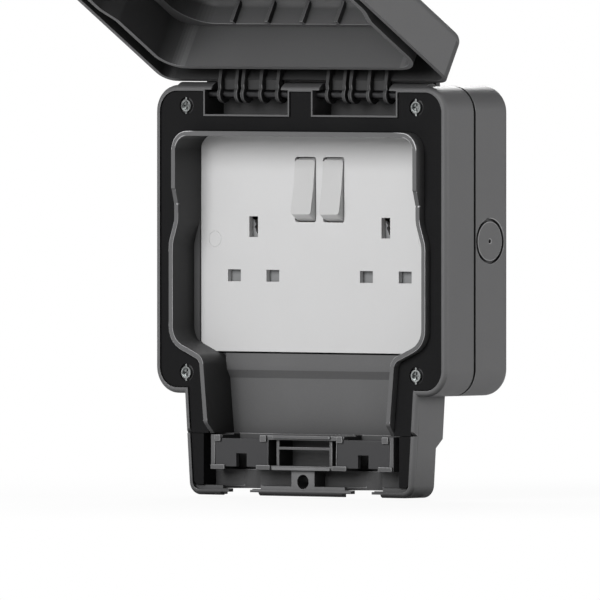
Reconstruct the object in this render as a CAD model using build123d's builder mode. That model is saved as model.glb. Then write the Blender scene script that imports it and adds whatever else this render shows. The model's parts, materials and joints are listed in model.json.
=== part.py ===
"""Outdoor weatherproof double socket: wall box, front frame with cable chute, hinged lid and socket inside.

Millimetres. X runs to the right, Z up, and the front faces -Y. The wall is the plane Y = 0.
Depths are measured forward from the wall, so a depth of 48 is at Y = -48.
"""

import os
from math import cos, radians, sin, sqrt

from build123d import *

os.makedirs("parts", exist_ok=True)

# Housing
WIDTH = 167.0
HEIGHT = 140.0
CORNER_R = 12.0
BOX_DEPTH = 26.0
SEAM = 1.5
FRAME_DEPTH = 20.5
WALL = 2.5
BASE = 3.0
BACK_EDGE_R = 5.0
FRONT_EDGE_R = 2.0

# Face of the frame: a raised bead round a seat for the black mat
BEAD = 0.6
SEAT_DEPTH = 1.9
MAT = 1.2
MAT_PLAY = 0.2
FACE = 2.5
RAIN_RIB = (3.0, 1.9)
RAIN_RIB_BACK = 2.0
RAIN_RIB_END = 5.5
CREST_PLAY = 0.36
SEAL_INSET = 0.6
SEAL_WIDTH = 4.4

# Seal collar round the socket opening, right half: upper part, wider lower part, shoulder and leg
COLLAR_WALL = 2.2
COLLAR_FROM_TOP = 23.0
COLLAR_FROM_SIDE = 12.1
COLLAR_FROM_FOOT = 24.4
COLLAR_STEP = 3.2
COLLAR_TOP_R = 6.5
WIDEN_TOP = 8.0
WIDEN_FOOT = -2.0
WIDEN_R = 12.0
SHOULDER_R = 9.0
SHOULDER_FALL = 7.8
LEG_FROM_CHUTE = 14.2
LEG_TAPER = 4.3
LEG_ROOT = 16.0
LEG_LIFT = 28.0
LEG_TOP_R = 6.0
RIM_UPPER = 5.0
RIM_LOWER = 2.7
RIM_STEP_TOP = 24.0
RIM_STEP_FOOT = 16.0
LEG_SLOPE = 5.0
LEDGE = 1.2

# Cable chute below the main box
CHUTE_FROM_SIDE = 15.3
CHUTE_TAPER = 4.0
CHUTE_LAP = 15.0
CHUTE_REACH = 46.0
CHUTE_R = 6.0
CHUTE_SET_BACK = 2.0
CHUTE_RIM = 2.6
HEEL = 4.5
HEEL_SLOPE = 4.0
FOOT_RISE = 3.0
FOOT_WALL = 1.4
FOOT_LIP = 3.2
EXIT_X = 6.0
PANEL = 2.0
PAD = 2.0
PAD_TALL = 7.6
PAD_BEVEL = 3.6
TRAY_DEPTH = 10.0

# Gate carrier, cable troughs and padlock lug
GATE_WIDTH = 29.8
GATE_FROM_EDGE = 17.4
GATE_LIFT = 26.0
GATE_TALL = 13.0
GATE_THICK = 2.4
GATE_NOTCH = 6.0
GATE_NOTCH_TALL = 6.0
GATE_PLAY = 0.2
GATE_CLIP = (3.6, 3.0)
GATE_LEDGE = (8.0, 2.2)
CARRIER_FROM_LEG = 1.6
CARRIER_EDGE = 1.4
CARRIER_LIP = 1.3
CARRIER_SET_BACK = 1.5
CARRIER_BAR = (33.0, 1.3)
HOLDER_PROUD = 1.0
SLOT_FROM_GATE = 0.6
SLOT_TALL = 11.8
SLOT_DEPTH = 11.5
CROSSBAR = (1.2, 2.2)
CROSSBAR_FALL = 4.4
CROSSBAR_SET_BACK = 1.6
SLOT_POST_X = 15.2
SLOT_POST = 1.6
TROUGH_R = 11.0
LUG_X = 6.6
LUG_SET_BACK = 2.1
LUG_HOLE_R = 3.25
LUG_HOLE_LIFT = 6.5

# Hinge
HINGE_FROM_TOP = 4.0
HINGE_SET_BACK = 5.0
PIN_R = 2.0
PIN_FIT = 0.06
PIN_END = 1.4
POCKET_FROM_MIDDLE = 7.1
POCKET_FROM_SCREW = 11.1
POCKET_BELOW_PIN = 9.2
POCKET_ABOVE_PIN = 2.0
POCKET_DEPTH = 14.0
POCKET_WALL = 2.0
POCKET_SHELF = 3.9
POCKET_BEAD = 0.8
ARM_SPREAD = (-0.4175, -0.175, -0.0825, 0.175, 0.4175)
ARM_THICK = 1.8
KNUCKLE_R = 4.2
ARM_REACH = 10.0
ARM_FALL = 8.0

# Lid, measured as if closed
LID_OPEN = 120.0
LID_GAP = 0.4
LID_BELOW_PIN = 2.0
LID_SIDE_GAP = 1.0
LID_FOOT_GAP = 0.5
LID_R = 11.0
LID_HINGE_R = 7.0
LID_WALL = 2.2
LID_SKIRT = 21.0
LID_EDGE_R = 5.0
LIP_CLEAR = 0.9
BULGE = 12.0
BULGE_FROM_SIDE = 16.5
BULGE_FROM_TOP = 16.0
BULGE_FROM_FOOT = 7.5
BULGE_R = 16.0
BULGE_EDGE_R = 6.0
RIB_SPACING = 20.0
RIB_COUNT = 5
RIB_THICK = 1.8
RIB_PROUD = 2.4
RIB_ROOT = 0.6
RIB_SHORT = 1.0
LID_CHUTE_GAP = 0.5
HASP_X = 10.0

# Screws and posts
SCREW_FROM_SIDE = 17.5
SCREW_FROM_TOP = 9.4
SCREW_R = 1.9
SCREW_HEAD_R = 3.0
SCREW_HEAD = 1.7
SCREW_GRIP = 34.0
SCREW_SLOT = 0.9
SCREW_FIT = 0.06
POST_R = 4.0
PLATE_POST_R = 3.5
BOSS_R = 4.6
MAT_HOLE_R = 3.9
PLATE_SCREW_X = 60.3
PLATE_SCREW_R = 1.75
PLATE_SCREW_GRIP = 22.0
CAP_R = 3.5
CAP_THICK = 0.7
CAP_FIT = 0.05
PLATE_HEAD = 1.0

# Wall fixing and conduit entries
FIX_X = 100.0
FIX_Z = 90.0
FIX_HOLE_R = 2.6
FIX_PAD_R = 6.0
FIX_PAD = 1.0
ENTRY_R = 10.25
ENTRY_RING = 1.3
ENTRY_GROOVE = 1.7
ENTRY_DIMPLE_R = 0.9
ENTRY_FROM_SEAM = 10.6

# Socket plate: two outlets to the usual three-pin pattern and two switches
PLATE_SET_BACK = 14.4
PLATE_THICK = 2.6
PLATE_LAP_X = 1.6
PLATE_LAP_TOP = 3.5
PLATE_LAP_FOOT = 5.4
PLATE_R = 5.0
PANEL_GAP = 0.8
OUTLET_X = 38.0
PIN_PITCH = 22.2
EARTH_Z = 5.7
EARTH_SLOT = (5.0, 9.4)
LINE_SLOT = (7.4, 5.4)
ROCKER_X = 8.1
ROCKER_Z = 22.8
ROCKER_WIDTH = 11.4
ROCKER_R = 14.9
ROCKER_END_R = 1.2
ROCKER_WINDOW = (12.2, 29.6)
WINDOW_R = 1.2
ROCKER_PROUD = 2.2
ROCKER_DISH = 0.5
ROCKER_TILT = 8.0
PIVOT_R = 1.5
PIVOT_EDGE = 1.6
PIVOT_CLEAR = 0.3
STEM = 3.0
SWITCH_REACH = 6.0

# Mechanism behind the plate
MECH_X = 56.2
MECH_FROM_TOP = 5.5
MECH_FOOT = -31.0
MECH_BACK = 8.0
MECH_WALL = 2.0
LUG_THICK = 2.2
LUG_GAP = 0.6
SHUTTER_GAP = 0.4
SHUTTER_THICK = 2.0
SHUTTER_X = 15.4
SHUTTER_PAD = (-20.5, -12.5)
SHUTTER_STEM_X = 3.6
SHUTTER_STEM_TOP = 2.6
HORN_TOP = 9.0
HORN_X = 0.9
HORN_SHIFT = 1.3
SPRING_X = 2.5
SPRING_THICK = 1.0
SPRING_TURNS = 4
STRIP = 1.4
CLIP_WIDTH = 6.0
CLIP_GAP = 3.6
CLIP_LEAF = 1.0
CLIP_CLEAR = 1.5
LIVE_STEP = 3.0
STRIP_WIDE = 6.0
TERMINAL = 8.0
TERMINAL_TALL = 6.0
TERMINAL_SCREW_R = 1.5
TERMINAL_HEAD_R = 2.8
TERMINAL_HEAD = 1.6

# Places on the face that follow from the width and the height
COLLAR_TOP = HEIGHT / 2 - COLLAR_FROM_TOP
COLLAR_LOWER_X = WIDTH / 2 - COLLAR_FROM_SIDE
COLLAR_UPPER_X = COLLAR_LOWER_X - COLLAR_STEP
SHOULDER = (COLLAR_LOWER_X, COLLAR_FROM_FOOT - HEIGHT / 2)
CHUTE_TOP_X = WIDTH / 2 - CHUTE_FROM_SIDE
CHUTE_FOOT_X = CHUTE_TOP_X - CHUTE_TAPER
CHUTE_TOP = CHUTE_LAP - HEIGHT / 2
CHUTE_FOOT = -HEIGHT / 2 - CHUTE_REACH
LEG_TOP = (CHUTE_TOP_X - LEG_FROM_CHUTE, SHOULDER[1] - SHOULDER_FALL)
LEG_FOOT = (LEG_TOP[0] - LEG_TAPER, CHUTE_FOOT + LEG_ROOT)
LEG_END = CHUTE_FOOT + LEG_LIFT
GATE_TOP = CHUTE_FOOT + GATE_LIFT
GATE_FOOT = GATE_TOP - GATE_TALL
CARRIER_X = LEG_TOP[0] - CARRIER_FROM_LEG
CARRIER_TOP = GATE_TOP + CARRIER_EDGE
CARRIER_FOOT = GATE_FOOT - CARRIER_LIP
GATE_X = CARRIER_X - GATE_FROM_EDGE
SLOT_X = GATE_X - GATE_WIDTH / 2 - SLOT_FROM_GATE
LUG_HOLE_Z = CHUTE_FOOT + LUG_HOLE_LIFT
FRAME_SCREW_X = WIDTH / 2 - SCREW_FROM_SIDE
FRAME_SCREW_Z = HEIGHT / 2 - SCREW_FROM_TOP
HINGE_Z = HEIGHT / 2 - HINGE_FROM_TOP
POCKET_FOOT = HINGE_Z - POCKET_BELOW_PIN
POCKET_TOP = HINGE_Z + POCKET_ABOVE_PIN
POCKET_WIDTH = FRAME_SCREW_X - POCKET_FROM_SCREW - POCKET_FROM_MIDDLE
POCKET_MOUTH = POCKET_WIDTH - 2 * POCKET_SHELF
HINGE_X = POCKET_FROM_MIDDLE + POCKET_WIDTH / 2
ARM_OFFSETS = [share * POCKET_MOUTH for share in ARM_SPREAD]
LID_TOP = HINGE_Z - LID_BELOW_PIN
LID_X = WIDTH / 2 - LID_SIDE_GAP
LID_FOOT = LID_FOOT_GAP - HEIGHT / 2
BULGE_X = LID_X - BULGE_FROM_SIDE
BULGE_TOP = LID_TOP - BULGE_FROM_TOP
BULGE_FOOT = LID_FOOT + BULGE_FROM_FOOT
PLATE_X = COLLAR_LOWER_X + PLATE_LAP_X
PLATE_TOP = COLLAR_TOP + PLATE_LAP_TOP
PLATE_FOOT = SHOULDER[1] - PLATE_LAP_FOOT
PAD_FOOT = PLATE_FOOT - PANEL_GAP - PAD_TALL
MECH_TOP = PLATE_TOP - MECH_FROM_TOP

# Depths that follow from the sizes above
FRAME_BACK = BOX_DEPTH + SEAM
FRONT = FRAME_BACK + FRAME_DEPTH
SEAT = FRONT - SEAT_DEPTH
CHUTE_BACK = FRAME_BACK + CHUTE_SET_BACK
PANEL_FRONT = CHUTE_BACK + PANEL
PLATE_FRONT = FRONT - PLATE_SET_BACK
PLATE_BACK = PLATE_FRONT - PLATE_THICK
TRAY = FRONT - TRAY_DEPTH
CARRIER_FRONT = FRONT - CARRIER_SET_BACK
HINGE_DEPTH = FRONT - HINGE_SET_BACK
ENTRY_DEPTH = BOX_DEPTH - ENTRY_FROM_SEAM
LIP = FRONT + LID_GAP
CREST_R = ((LIP - HINGE_DEPTH) ** 2 + LID_BELOW_PIN**2) ** 0.5 - CREST_PLAY
LINE_Z = EARTH_Z - PIN_PITCH
LUG_HALF = PIVOT_R + PIVOT_EDGE
PIVOT = PLATE_BACK - LUG_HALF - PIVOT_CLEAR
MECH_FLOOR = MECH_BACK + MECH_WALL
WALL_AXIS = Axis((0, 0, 0), (0, -1, 0))
FAR = 400.0


def front(depth):
    """Sketch plane parallel to the wall, at a depth in front of it: local x is X and local y is Z."""
    return Plane.XZ.offset(depth)


def side(x):
    """Sketch plane across the part at x: local x is the depth and local y is Z. It faces -X."""
    return Plane(origin=(x, 0, 0), x_dir=(0, -1, 0), z_dir=(-1, 0, 0))


def level(z):
    """Horizontal sketch plane at z: local x is X and local y is the depth. It faces down."""
    return Plane(origin=(0, 0, z), x_dir=(1, 0, 0), z_dir=(0, 0, -1))


def below(z):
    """Everything lower than z, as a sketch to cut with."""
    with BuildSketch() as half:
        with Locations((0, z)):
            Rectangle(FAR, FAR, align=(Align.CENTER, Align.MAX))
    return half.sketch


def main_outline(inset=0.0):
    """Rounded rectangle of the main box."""
    with BuildSketch() as outline:
        RectangleRounded(WIDTH - 2 * inset, HEIGHT - 2 * inset, CORNER_R - inset)
    return outline.sketch


def chute_outline(inset=0.0):
    """Tapering outline of the chute, running up behind the main box."""
    with BuildSketch() as outline:
        with BuildLine():
            FilletPolyline(
                (CHUTE_TOP_X, CHUTE_TOP),
                (CHUTE_FOOT_X, CHUTE_FOOT),
                (-CHUTE_FOOT_X, CHUTE_FOOT),
                (-CHUTE_TOP_X, CHUTE_TOP),
                radius=(0, CHUTE_R, CHUTE_R, 0),
                close=True,
            )
        make_face()
        if inset:
            offset(amount=-inset, kind=Kind.INTERSECTION)
    return outline.sketch


def body_outline(inset=0.0):
    """Front outline of the frame: the main box and the chute together."""
    with BuildSketch() as outline:
        add(main_outline())
        add(chute_outline())
        if inset:
            offset(amount=-inset, kind=Kind.INTERSECTION)
    return outline.sketch


def collar_outline(grow=0.0):
    """Opening inside the seal collar, grown outwards by a wall or a clearance."""
    with BuildSketch() as outline:
        with BuildLine():
            FilletPolyline(
                (0, COLLAR_TOP),
                (COLLAR_UPPER_X, COLLAR_TOP),
                (COLLAR_UPPER_X, WIDEN_TOP),
                (COLLAR_LOWER_X, WIDEN_FOOT),
                SHOULDER,
                LEG_TOP,
                LEG_FOOT,
                (0, LEG_FOOT[1]),
                radius=(COLLAR_TOP_R, WIDEN_R, WIDEN_R, SHOULDER_R, LEG_TOP_R, 0),
            )
            mirror(about=Plane.YZ)
        make_face()
        if grow:
            offset(amount=grow)
    return outline.sketch


def collar_ring(grow, wall):
    """Wall that follows the collar, open at the foot of its legs."""
    with BuildSketch() as ring:
        add(collar_outline(grow + wall))
        add(collar_outline(grow), mode=Mode.SUBTRACT)
        add(below(LEG_END), mode=Mode.SUBTRACT)
    return ring.sketch


def flat_face(builder, axis, distance):
    """The flat face of a part that crosses an axis squarely at a distance along it."""
    faces = builder.faces().filter_by(axis)
    return faces.sort_by(lambda face: abs((face.center() - axis.position).dot(axis.direction) - distance))[0]


def corner_points(x, z):
    """The four corners of a rectangle centred on the origin."""
    return [(sx * x, sz * z) for sx in (-1, 1) for sz in (-1, 1)]


# Back box: an open tray with rounded back edges, posts for the screws and conduit entries on its sides
ENTRY_PLANES = (
    Plane(origin=(WIDTH / 2, -ENTRY_DEPTH, 0), z_dir=(1, 0, 0)),
    Plane(origin=(-WIDTH / 2, -ENTRY_DEPTH, 0), z_dir=(-1, 0, 0)),
    Plane(origin=(0, -ENTRY_DEPTH, HEIGHT / 2), z_dir=(0, 0, 1)),
    Plane(origin=(0, -ENTRY_DEPTH, -HEIGHT / 2), z_dir=(0, 0, -1)),
)
with BuildPart() as back_box:
    with BuildSketch(front(0)):
        add(main_outline())
    extrude(amount=BOX_DEPTH)
    fillet(back_box.faces().sort_by(Axis.Y)[-1].edges(), radius=BACK_EDGE_R)
    with BuildSketch(front(BASE)):
        add(main_outline(WALL))
    extrude(amount=BOX_DEPTH, mode=Mode.SUBTRACT)
    fillet(flat_face(back_box, WALL_AXIS, BASE).edges(), radius=BACK_EDGE_R - WALL)
    with BuildSketch(front(BASE)):
        with Locations(*corner_points(FRAME_SCREW_X, FRAME_SCREW_Z)):
            Circle(POST_R)
    extrude(amount=BOX_DEPTH - BASE)
    with BuildSketch(front(BASE)):
        with Locations((-PLATE_SCREW_X, 0), (PLATE_SCREW_X, 0)):
            Circle(PLATE_POST_R)
    extrude(amount=PLATE_BACK - BASE)
    with BuildSketch(front(BASE)):
        with GridLocations(FIX_X, FIX_Z, 2, 2):
            Circle(FIX_PAD_R)
    extrude(amount=FIX_PAD)
    with BuildSketch(front(0)):
        with GridLocations(FIX_X, FIX_Z, 2, 2):
            Circle(FIX_HOLE_R)
    extrude(amount=BASE + FIX_PAD, mode=Mode.SUBTRACT)
    with BuildSketch(front(BOX_DEPTH)):
        with Locations(*corner_points(FRAME_SCREW_X, FRAME_SCREW_Z)):
            Circle(SCREW_R + SCREW_FIT)
    extrude(amount=-(BOX_DEPTH - BASE), mode=Mode.SUBTRACT)
    with BuildSketch(front(PLATE_BACK)):
        with Locations((-PLATE_SCREW_X, 0), (PLATE_SCREW_X, 0)):
            Circle(PLATE_SCREW_R + SCREW_FIT)
    extrude(amount=-(PLATE_BACK - BASE), mode=Mode.SUBTRACT)
    with BuildSketch(*ENTRY_PLANES):
        Circle(ENTRY_R)
        Circle(ENTRY_R - ENTRY_RING, mode=Mode.SUBTRACT)
        Circle(ENTRY_DIMPLE_R)
    extrude(amount=-ENTRY_GROOVE, mode=Mode.SUBTRACT)
back_box.part.label = "back_box"
export_step(back_box.part, "parts/back_box.step")

# Black seal between the back box and the frame, set in a little from the outside
with BuildPart() as rear_gasket:
    with BuildSketch(front(BOX_DEPTH)):
        add(main_outline(SEAL_INSET))
        add(main_outline(SEAL_INSET + SEAL_WIDTH), mode=Mode.SUBTRACT)
    extrude(amount=SEAM)
rear_gasket.part.label = "rear_gasket"
export_step(rear_gasket.part, "parts/rear_gasket.step")

# Front frame: surround, chute, collar, hinge pockets, gate carrier and padlock lug in one moulding
POCKET_TALL = POCKET_TOP - POCKET_FOOT
POCKET_Z = (POCKET_TOP + POCKET_FOOT) / 2
HOLLOW_TOP = SEAT - FACE
RIM = FRONT + RIM_UPPER
LEG_FALL = FRONT + RIM_LOWER - SEAT
HINGE_CENTRES = (-HINGE_X, HINGE_X)
GATE_CORNERS = [s * GATE_X + t * (GATE_WIDTH - GATE_CLIP[0]) / 2 for s in (-1, 1) for t in (-1, 1)]
with BuildPart() as front_frame:
    with BuildSketch(front(FRAME_BACK)):
        add(main_outline())
    extrude(amount=FRAME_DEPTH)
    with BuildSketch(front(FRAME_BACK)):
        add(chute_outline())
    extrude(amount=FRAME_DEPTH)
    fillet(front_frame.faces().sort_by(Axis.Y)[0].edges(), radius=FRONT_EDGE_R)
    # Rain rib along the top, behind the hinge
    with BuildSketch(front(FRAME_BACK + RAIN_RIB_BACK)):
        with Locations((0, HEIGHT / 2 - WALL)):
            Rectangle(
                WIDTH - 2 * (CORNER_R + RAIN_RIB_END), WALL + RAIN_RIB[1], align=(Align.CENTER, Align.MIN)
            )
    extrude(amount=RAIN_RIB[0])
    # Crest along the hinge line, round about the pins, that the lid's edge passes close by
    with BuildSketch(side(WIDTH / 2 - CORNER_R)):
        with Locations((HINGE_DEPTH, HINGE_Z)):
            Circle(CREST_R)
        with Locations((HINGE_DEPTH, HEIGHT / 2 - WALL / 2)):
            Rectangle(2 * CREST_R, CREST_R, align=(Align.CENTER, Align.MIN), mode=Mode.INTERSECT)
    extrude(amount=WIDTH - 2 * CORNER_R)
    # Seat for the mat, then the hollow behind the face
    with BuildSketch(front(FRONT)):
        add(body_outline(FRONT_EDGE_R + BEAD))
    extrude(amount=-SEAT_DEPTH, mode=Mode.SUBTRACT)
    with BuildSketch(front(FRAME_BACK)):
        add(body_outline(WALL))
        add(below(LEG_END), mode=Mode.SUBTRACT)
    extrude(amount=HOLLOW_TOP - FRAME_BACK, mode=Mode.SUBTRACT)
    # Opening inside the collar, and the tray at the foot of the chute
    with BuildSketch(front(FRAME_BACK)):
        add(collar_outline(COLLAR_WALL))
        add(below(LEG_END), mode=Mode.SUBTRACT)
    extrude(amount=FRAME_DEPTH, mode=Mode.SUBTRACT)
    with BuildSketch(front(TRAY)):
        add(chute_outline(CHUTE_RIM))
        add(below(LEG_END), mode=Mode.INTERSECT)
        add(below(CHUTE_FOOT + FOOT_RISE + FOOT_WALL), mode=Mode.SUBTRACT)
    extrude(amount=FRONT - TRAY, mode=Mode.SUBTRACT)
    # Collar wall and the panel between its legs
    with BuildSketch(front(PLATE_FRONT)):
        add(collar_ring(0, COLLAR_WALL))
    extrude(amount=RIM - PLATE_FRONT)
    with BuildSketch(front(CHUTE_BACK)):
        add(collar_outline(COLLAR_WALL))
        add(below(PLATE_FOOT - PANEL_GAP), mode=Mode.INTERSECT)
        add(below(LEG_END), mode=Mode.SUBTRACT)
    extrude(amount=PANEL)
    with BuildSketch(front(PANEL_FRONT)):
        add(collar_ring(0, COLLAR_WALL))
        add(below(PLATE_FOOT - PANEL_GAP), mode=Mode.INTERSECT)
    extrude(amount=PLATE_FRONT - PANEL_FRONT)
    with BuildSketch(side(LEG_TOP[0])):
        with BuildLine():
            Polyline(
                (PANEL_FRONT, PLATE_FOOT - PANEL_GAP),
                (PANEL_FRONT + PAD, PLATE_FOOT - PANEL_GAP),
                (PANEL_FRONT + PAD, PAD_FOOT),
                (PANEL_FRONT, PAD_FOOT - PAD_BEVEL),
                close=True,
            )
        make_face()
    extrude(amount=2 * LEG_TOP[0])
    # Low ledge over the plate's edge where the collar widens
    with BuildSketch(front(PLATE_FRONT)):
        add(collar_outline())
        Rectangle(2 * COLLAR_UPPER_X, FAR, mode=Mode.SUBTRACT)
    extrude(amount=LEDGE)
    # The collar's rim steps back half way down and falls away at the foot of the legs
    with BuildSketch(side(WIDTH / 2)):
        with BuildLine():
            FilletPolyline(
                (RIM + RIM_UPPER, RIM_STEP_TOP),
                (RIM, RIM_STEP_TOP),
                (FRONT + RIM_LOWER, RIM_STEP_FOOT),
                (FRONT + RIM_LOWER, LEG_END + LEG_SLOPE),
                (SEAT, LEG_END),
                (RIM + RIM_UPPER, LEG_END),
                radius=(0, RIM_LOWER, RIM_LOWER, RIM_LOWER, 0, 0),
                close=True,
            )
        make_face()
    extrude(amount=WIDTH, mode=Mode.SUBTRACT)
    # Hinge pockets with their own bead, open at the top for the lid's arms
    with BuildSketch(front(FRONT - POCKET_DEPTH - POCKET_WALL)):
        with Locations(*[(x, POCKET_Z) for x in HINGE_CENTRES]):
            Rectangle(POCKET_WIDTH + 2 * POCKET_WALL, POCKET_TALL + 2 * POCKET_WALL)
    extrude(amount=POCKET_DEPTH)
    with BuildSketch(front(SEAT)):
        with Locations(*[(x, POCKET_Z) for x in HINGE_CENTRES]):
            Rectangle(POCKET_WIDTH + 2 * POCKET_BEAD, POCKET_TALL + 2 * POCKET_BEAD)
        add(body_outline(FRONT_EDGE_R), mode=Mode.INTERSECT)
    extrude(amount=SEAT_DEPTH)
    with BuildSketch(front(FRONT - POCKET_DEPTH)):
        with Locations(*[(x, POCKET_Z) for x in HINGE_CENTRES]):
            Rectangle(POCKET_WIDTH, POCKET_TALL)
        with Locations(*[(x, POCKET_FOOT) for x in HINGE_CENTRES]):
            Rectangle(POCKET_MOUTH, HEIGHT / 2, align=(Align.CENTER, Align.MIN))
    extrude(amount=POCKET_DEPTH + RIM_UPPER, mode=Mode.SUBTRACT)
    with BuildSketch(side(HINGE_X + POCKET_WIDTH / 2 + PIN_END)):
        with Locations((HINGE_DEPTH, HINGE_Z)):
            Circle(PIN_R + PIN_FIT)
    extrude(amount=POCKET_WIDTH + 2 * PIN_END, mode=Mode.SUBTRACT)
    with BuildSketch(side(-HINGE_X + POCKET_WIDTH / 2 + PIN_END)):
        with Locations((HINGE_DEPTH, HINGE_Z)):
            Circle(PIN_R + PIN_FIT)
    extrude(amount=POCKET_WIDTH + 2 * PIN_END, mode=Mode.SUBTRACT)
    # Carrier for the cable gates, with a deep slot between them
    with BuildSketch(front(TRAY)):
        with Locations((0, CARRIER_TOP)):
            Rectangle(2 * CARRIER_X, CARRIER_TOP - CARRIER_FOOT, align=(Align.CENTER, Align.MAX))
    extrude(amount=CARRIER_FRONT - TRAY)
    with BuildSketch(front(CARRIER_FRONT)):
        with Locations((0, (GATE_TOP + GATE_FOOT) / 2)):
            Rectangle(2 * SLOT_X, SLOT_TALL)
    extrude(amount=-SLOT_DEPTH, mode=Mode.SUBTRACT)
    with BuildSketch(front(CARRIER_FRONT - SLOT_DEPTH)):
        with Locations((-SLOT_POST_X, CARRIER_TOP), (SLOT_POST_X, CARRIER_TOP)):
            Rectangle(SLOT_POST, CARRIER_TOP - CARRIER_FOOT, align=(Align.CENTER, Align.MAX))
    extrude(amount=SLOT_DEPTH - CROSSBAR_SET_BACK)
    with BuildSketch(front(CARRIER_FRONT - CROSSBAR_SET_BACK)):
        with Locations((0, GATE_TOP - CROSSBAR_FALL)):
            Rectangle(2 * SLOT_POST_X, CROSSBAR[0])
    extrude(amount=-CROSSBAR[1])
    with BuildSketch(front(PANEL_FRONT + PAD)):
        with Locations((-GATE_X, CARRIER_FOOT), (GATE_X, CARRIER_FOOT)):
            Rectangle(2 * TROUGH_R, LEG_END - CARRIER_FOOT, align=(Align.CENTER, Align.MIN))
    extrude(amount=FRONT - PANEL_FRONT - PAD, mode=Mode.SUBTRACT)
    with BuildSketch(front(CARRIER_FRONT)):
        with Locations((-GATE_X, GATE_TOP), (GATE_X, GATE_TOP)):
            Rectangle(GATE_WIDTH + 2 * GATE_PLAY, GATE_TOP - GATE_FOOT, align=(Align.CENTER, Align.MAX))
    extrude(amount=-GATE_THICK, mode=Mode.SUBTRACT)
    # Clips and ledges that keep the gates in, and bars over and under the slot
    with BuildSketch(front(CARRIER_FRONT)):
        with Locations(*[(x, CARRIER_TOP) for x in GATE_CORNERS]):
            Rectangle(*GATE_CLIP, align=(Align.CENTER, Align.MAX))
        with Locations(*[(x, CARRIER_FOOT) for x in GATE_CORNERS]):
            Rectangle(*GATE_LEDGE, align=(Align.CENTER, Align.MIN))
        with Locations((0, CARRIER_TOP)):
            Rectangle(*CARRIER_BAR, align=(Align.CENTER, Align.MAX))
        with Locations((0, CARRIER_FOOT)):
            Rectangle(*CARRIER_BAR, align=(Align.CENTER, Align.MIN))
    extrude(amount=HOLDER_PROUD)
    # Half-round cable troughs out through the foot, and the lug between them
    with BuildSketch(level(CARRIER_FOOT)):
        with Locations((-GATE_X, FRONT), (GATE_X, FRONT)):
            Circle(TROUGH_R)
    extrude(amount=CARRIER_FOOT - CHUTE_FOOT - FOOT_RISE, mode=Mode.SUBTRACT)
    with BuildSketch(front(TRAY)):
        with Locations((0, CARRIER_FOOT)):
            Rectangle(2 * LUG_X, CARRIER_FOOT - CHUTE_FOOT - CHUTE_RIM, align=(Align.CENTER, Align.MAX))
    extrude(amount=TRAY_DEPTH - LUG_SET_BACK)
    with BuildSketch(front(FRAME_BACK)):
        with Locations((0, LUG_HOLE_Z)):
            Circle(LUG_HOLE_R)
    extrude(amount=FRAME_DEPTH, mode=Mode.SUBTRACT)
    # The foot is cut back behind and rises behind its front lip, which is stepped and open at the cable ways
    with BuildSketch(side(CHUTE_TOP_X)):
        with BuildLine():
            Polyline(
                (FRAME_BACK, LEG_END - CARRIER_EDGE),
                (FRAME_BACK + HEEL, LEG_END - CARRIER_EDGE - HEEL_SLOPE),
                (FRAME_BACK + HEEL, CHUTE_FOOT),
                (FRAME_BACK, CHUTE_FOOT),
                close=True,
            )
        make_face()
    extrude(amount=2 * CHUTE_TOP_X, mode=Mode.SUBTRACT)
    with BuildSketch(side(LEG_TOP[0])):
        with Locations((FRAME_BACK, CHUTE_FOOT)):
            Rectangle(FRAME_DEPTH - FOOT_LIP, FOOT_RISE, align=(Align.MIN, Align.MIN))
    extrude(amount=2 * LEG_TOP[0], mode=Mode.SUBTRACT)
    with BuildSketch(front(FRONT)):
        with Locations((-GATE_X, CHUTE_FOOT), (GATE_X, CHUTE_FOOT)):
            Rectangle(2 * EXIT_X, FOOT_RISE, align=(Align.CENTER, Align.MIN))
            Rectangle(2 * TROUGH_R, FOOT_RISE / 2, align=(Align.CENTER, Align.MIN))
    extrude(amount=-FOOT_LIP, mode=Mode.SUBTRACT)
    # Bosses for the four frame screws
    with BuildSketch(front(FRAME_BACK)):
        with Locations(*corner_points(FRAME_SCREW_X, FRAME_SCREW_Z)):
            Circle(BOSS_R)
    extrude(amount=SEAT - FRAME_BACK)
    with BuildSketch(front(FRAME_BACK)):
        with Locations(*corner_points(FRAME_SCREW_X, FRAME_SCREW_Z)):
            Circle(SCREW_R + SCREW_FIT)
    extrude(amount=FRAME_DEPTH, mode=Mode.SUBTRACT)
front_frame.part.label = "front_frame"
export_step(front_frame.part, "parts/front_frame.step")

# Black mat on the frame's face, cut round the collar, the pockets and the screw heads
with BuildPart() as face_gasket:
    with BuildSketch(front(SEAT)):
        add(body_outline(FRONT_EDGE_R + BEAD + MAT_PLAY))
        add(collar_outline(COLLAR_WALL + MAT_PLAY), mode=Mode.SUBTRACT)
        add(below(LEG_END), mode=Mode.SUBTRACT)
        with Locations(*[(x, POCKET_FOOT - POCKET_BEAD - MAT_PLAY) for x in HINGE_CENTRES]):
            Rectangle(
                POCKET_WIDTH + 2 * (POCKET_BEAD + MAT_PLAY),
                HEIGHT,
                align=(Align.CENTER, Align.MIN),
                mode=Mode.SUBTRACT,
            )
        with Locations(*corner_points(FRAME_SCREW_X, FRAME_SCREW_Z)):
            Circle(MAT_HOLE_R, mode=Mode.SUBTRACT)
    extrude(amount=MAT)
face_gasket.part.label = "face_gasket"
export_step(face_gasket.part, "parts/face_gasket.step")

# Hinge pins, one in each pocket
for name, centre in (("hinge_pin_left", -HINGE_X), ("hinge_pin_right", HINGE_X)):
    with BuildPart() as hinge_pin:
        with BuildSketch(side(centre + POCKET_WIDTH / 2 + PIN_END)):
            with Locations((HINGE_DEPTH, HINGE_Z)):
                Circle(PIN_R)
        extrude(amount=POCKET_WIDTH + 2 * PIN_END)
    hinge_pin.part.label = name
    export_step(hinge_pin.part, f"parts/{name}.step")

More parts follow.
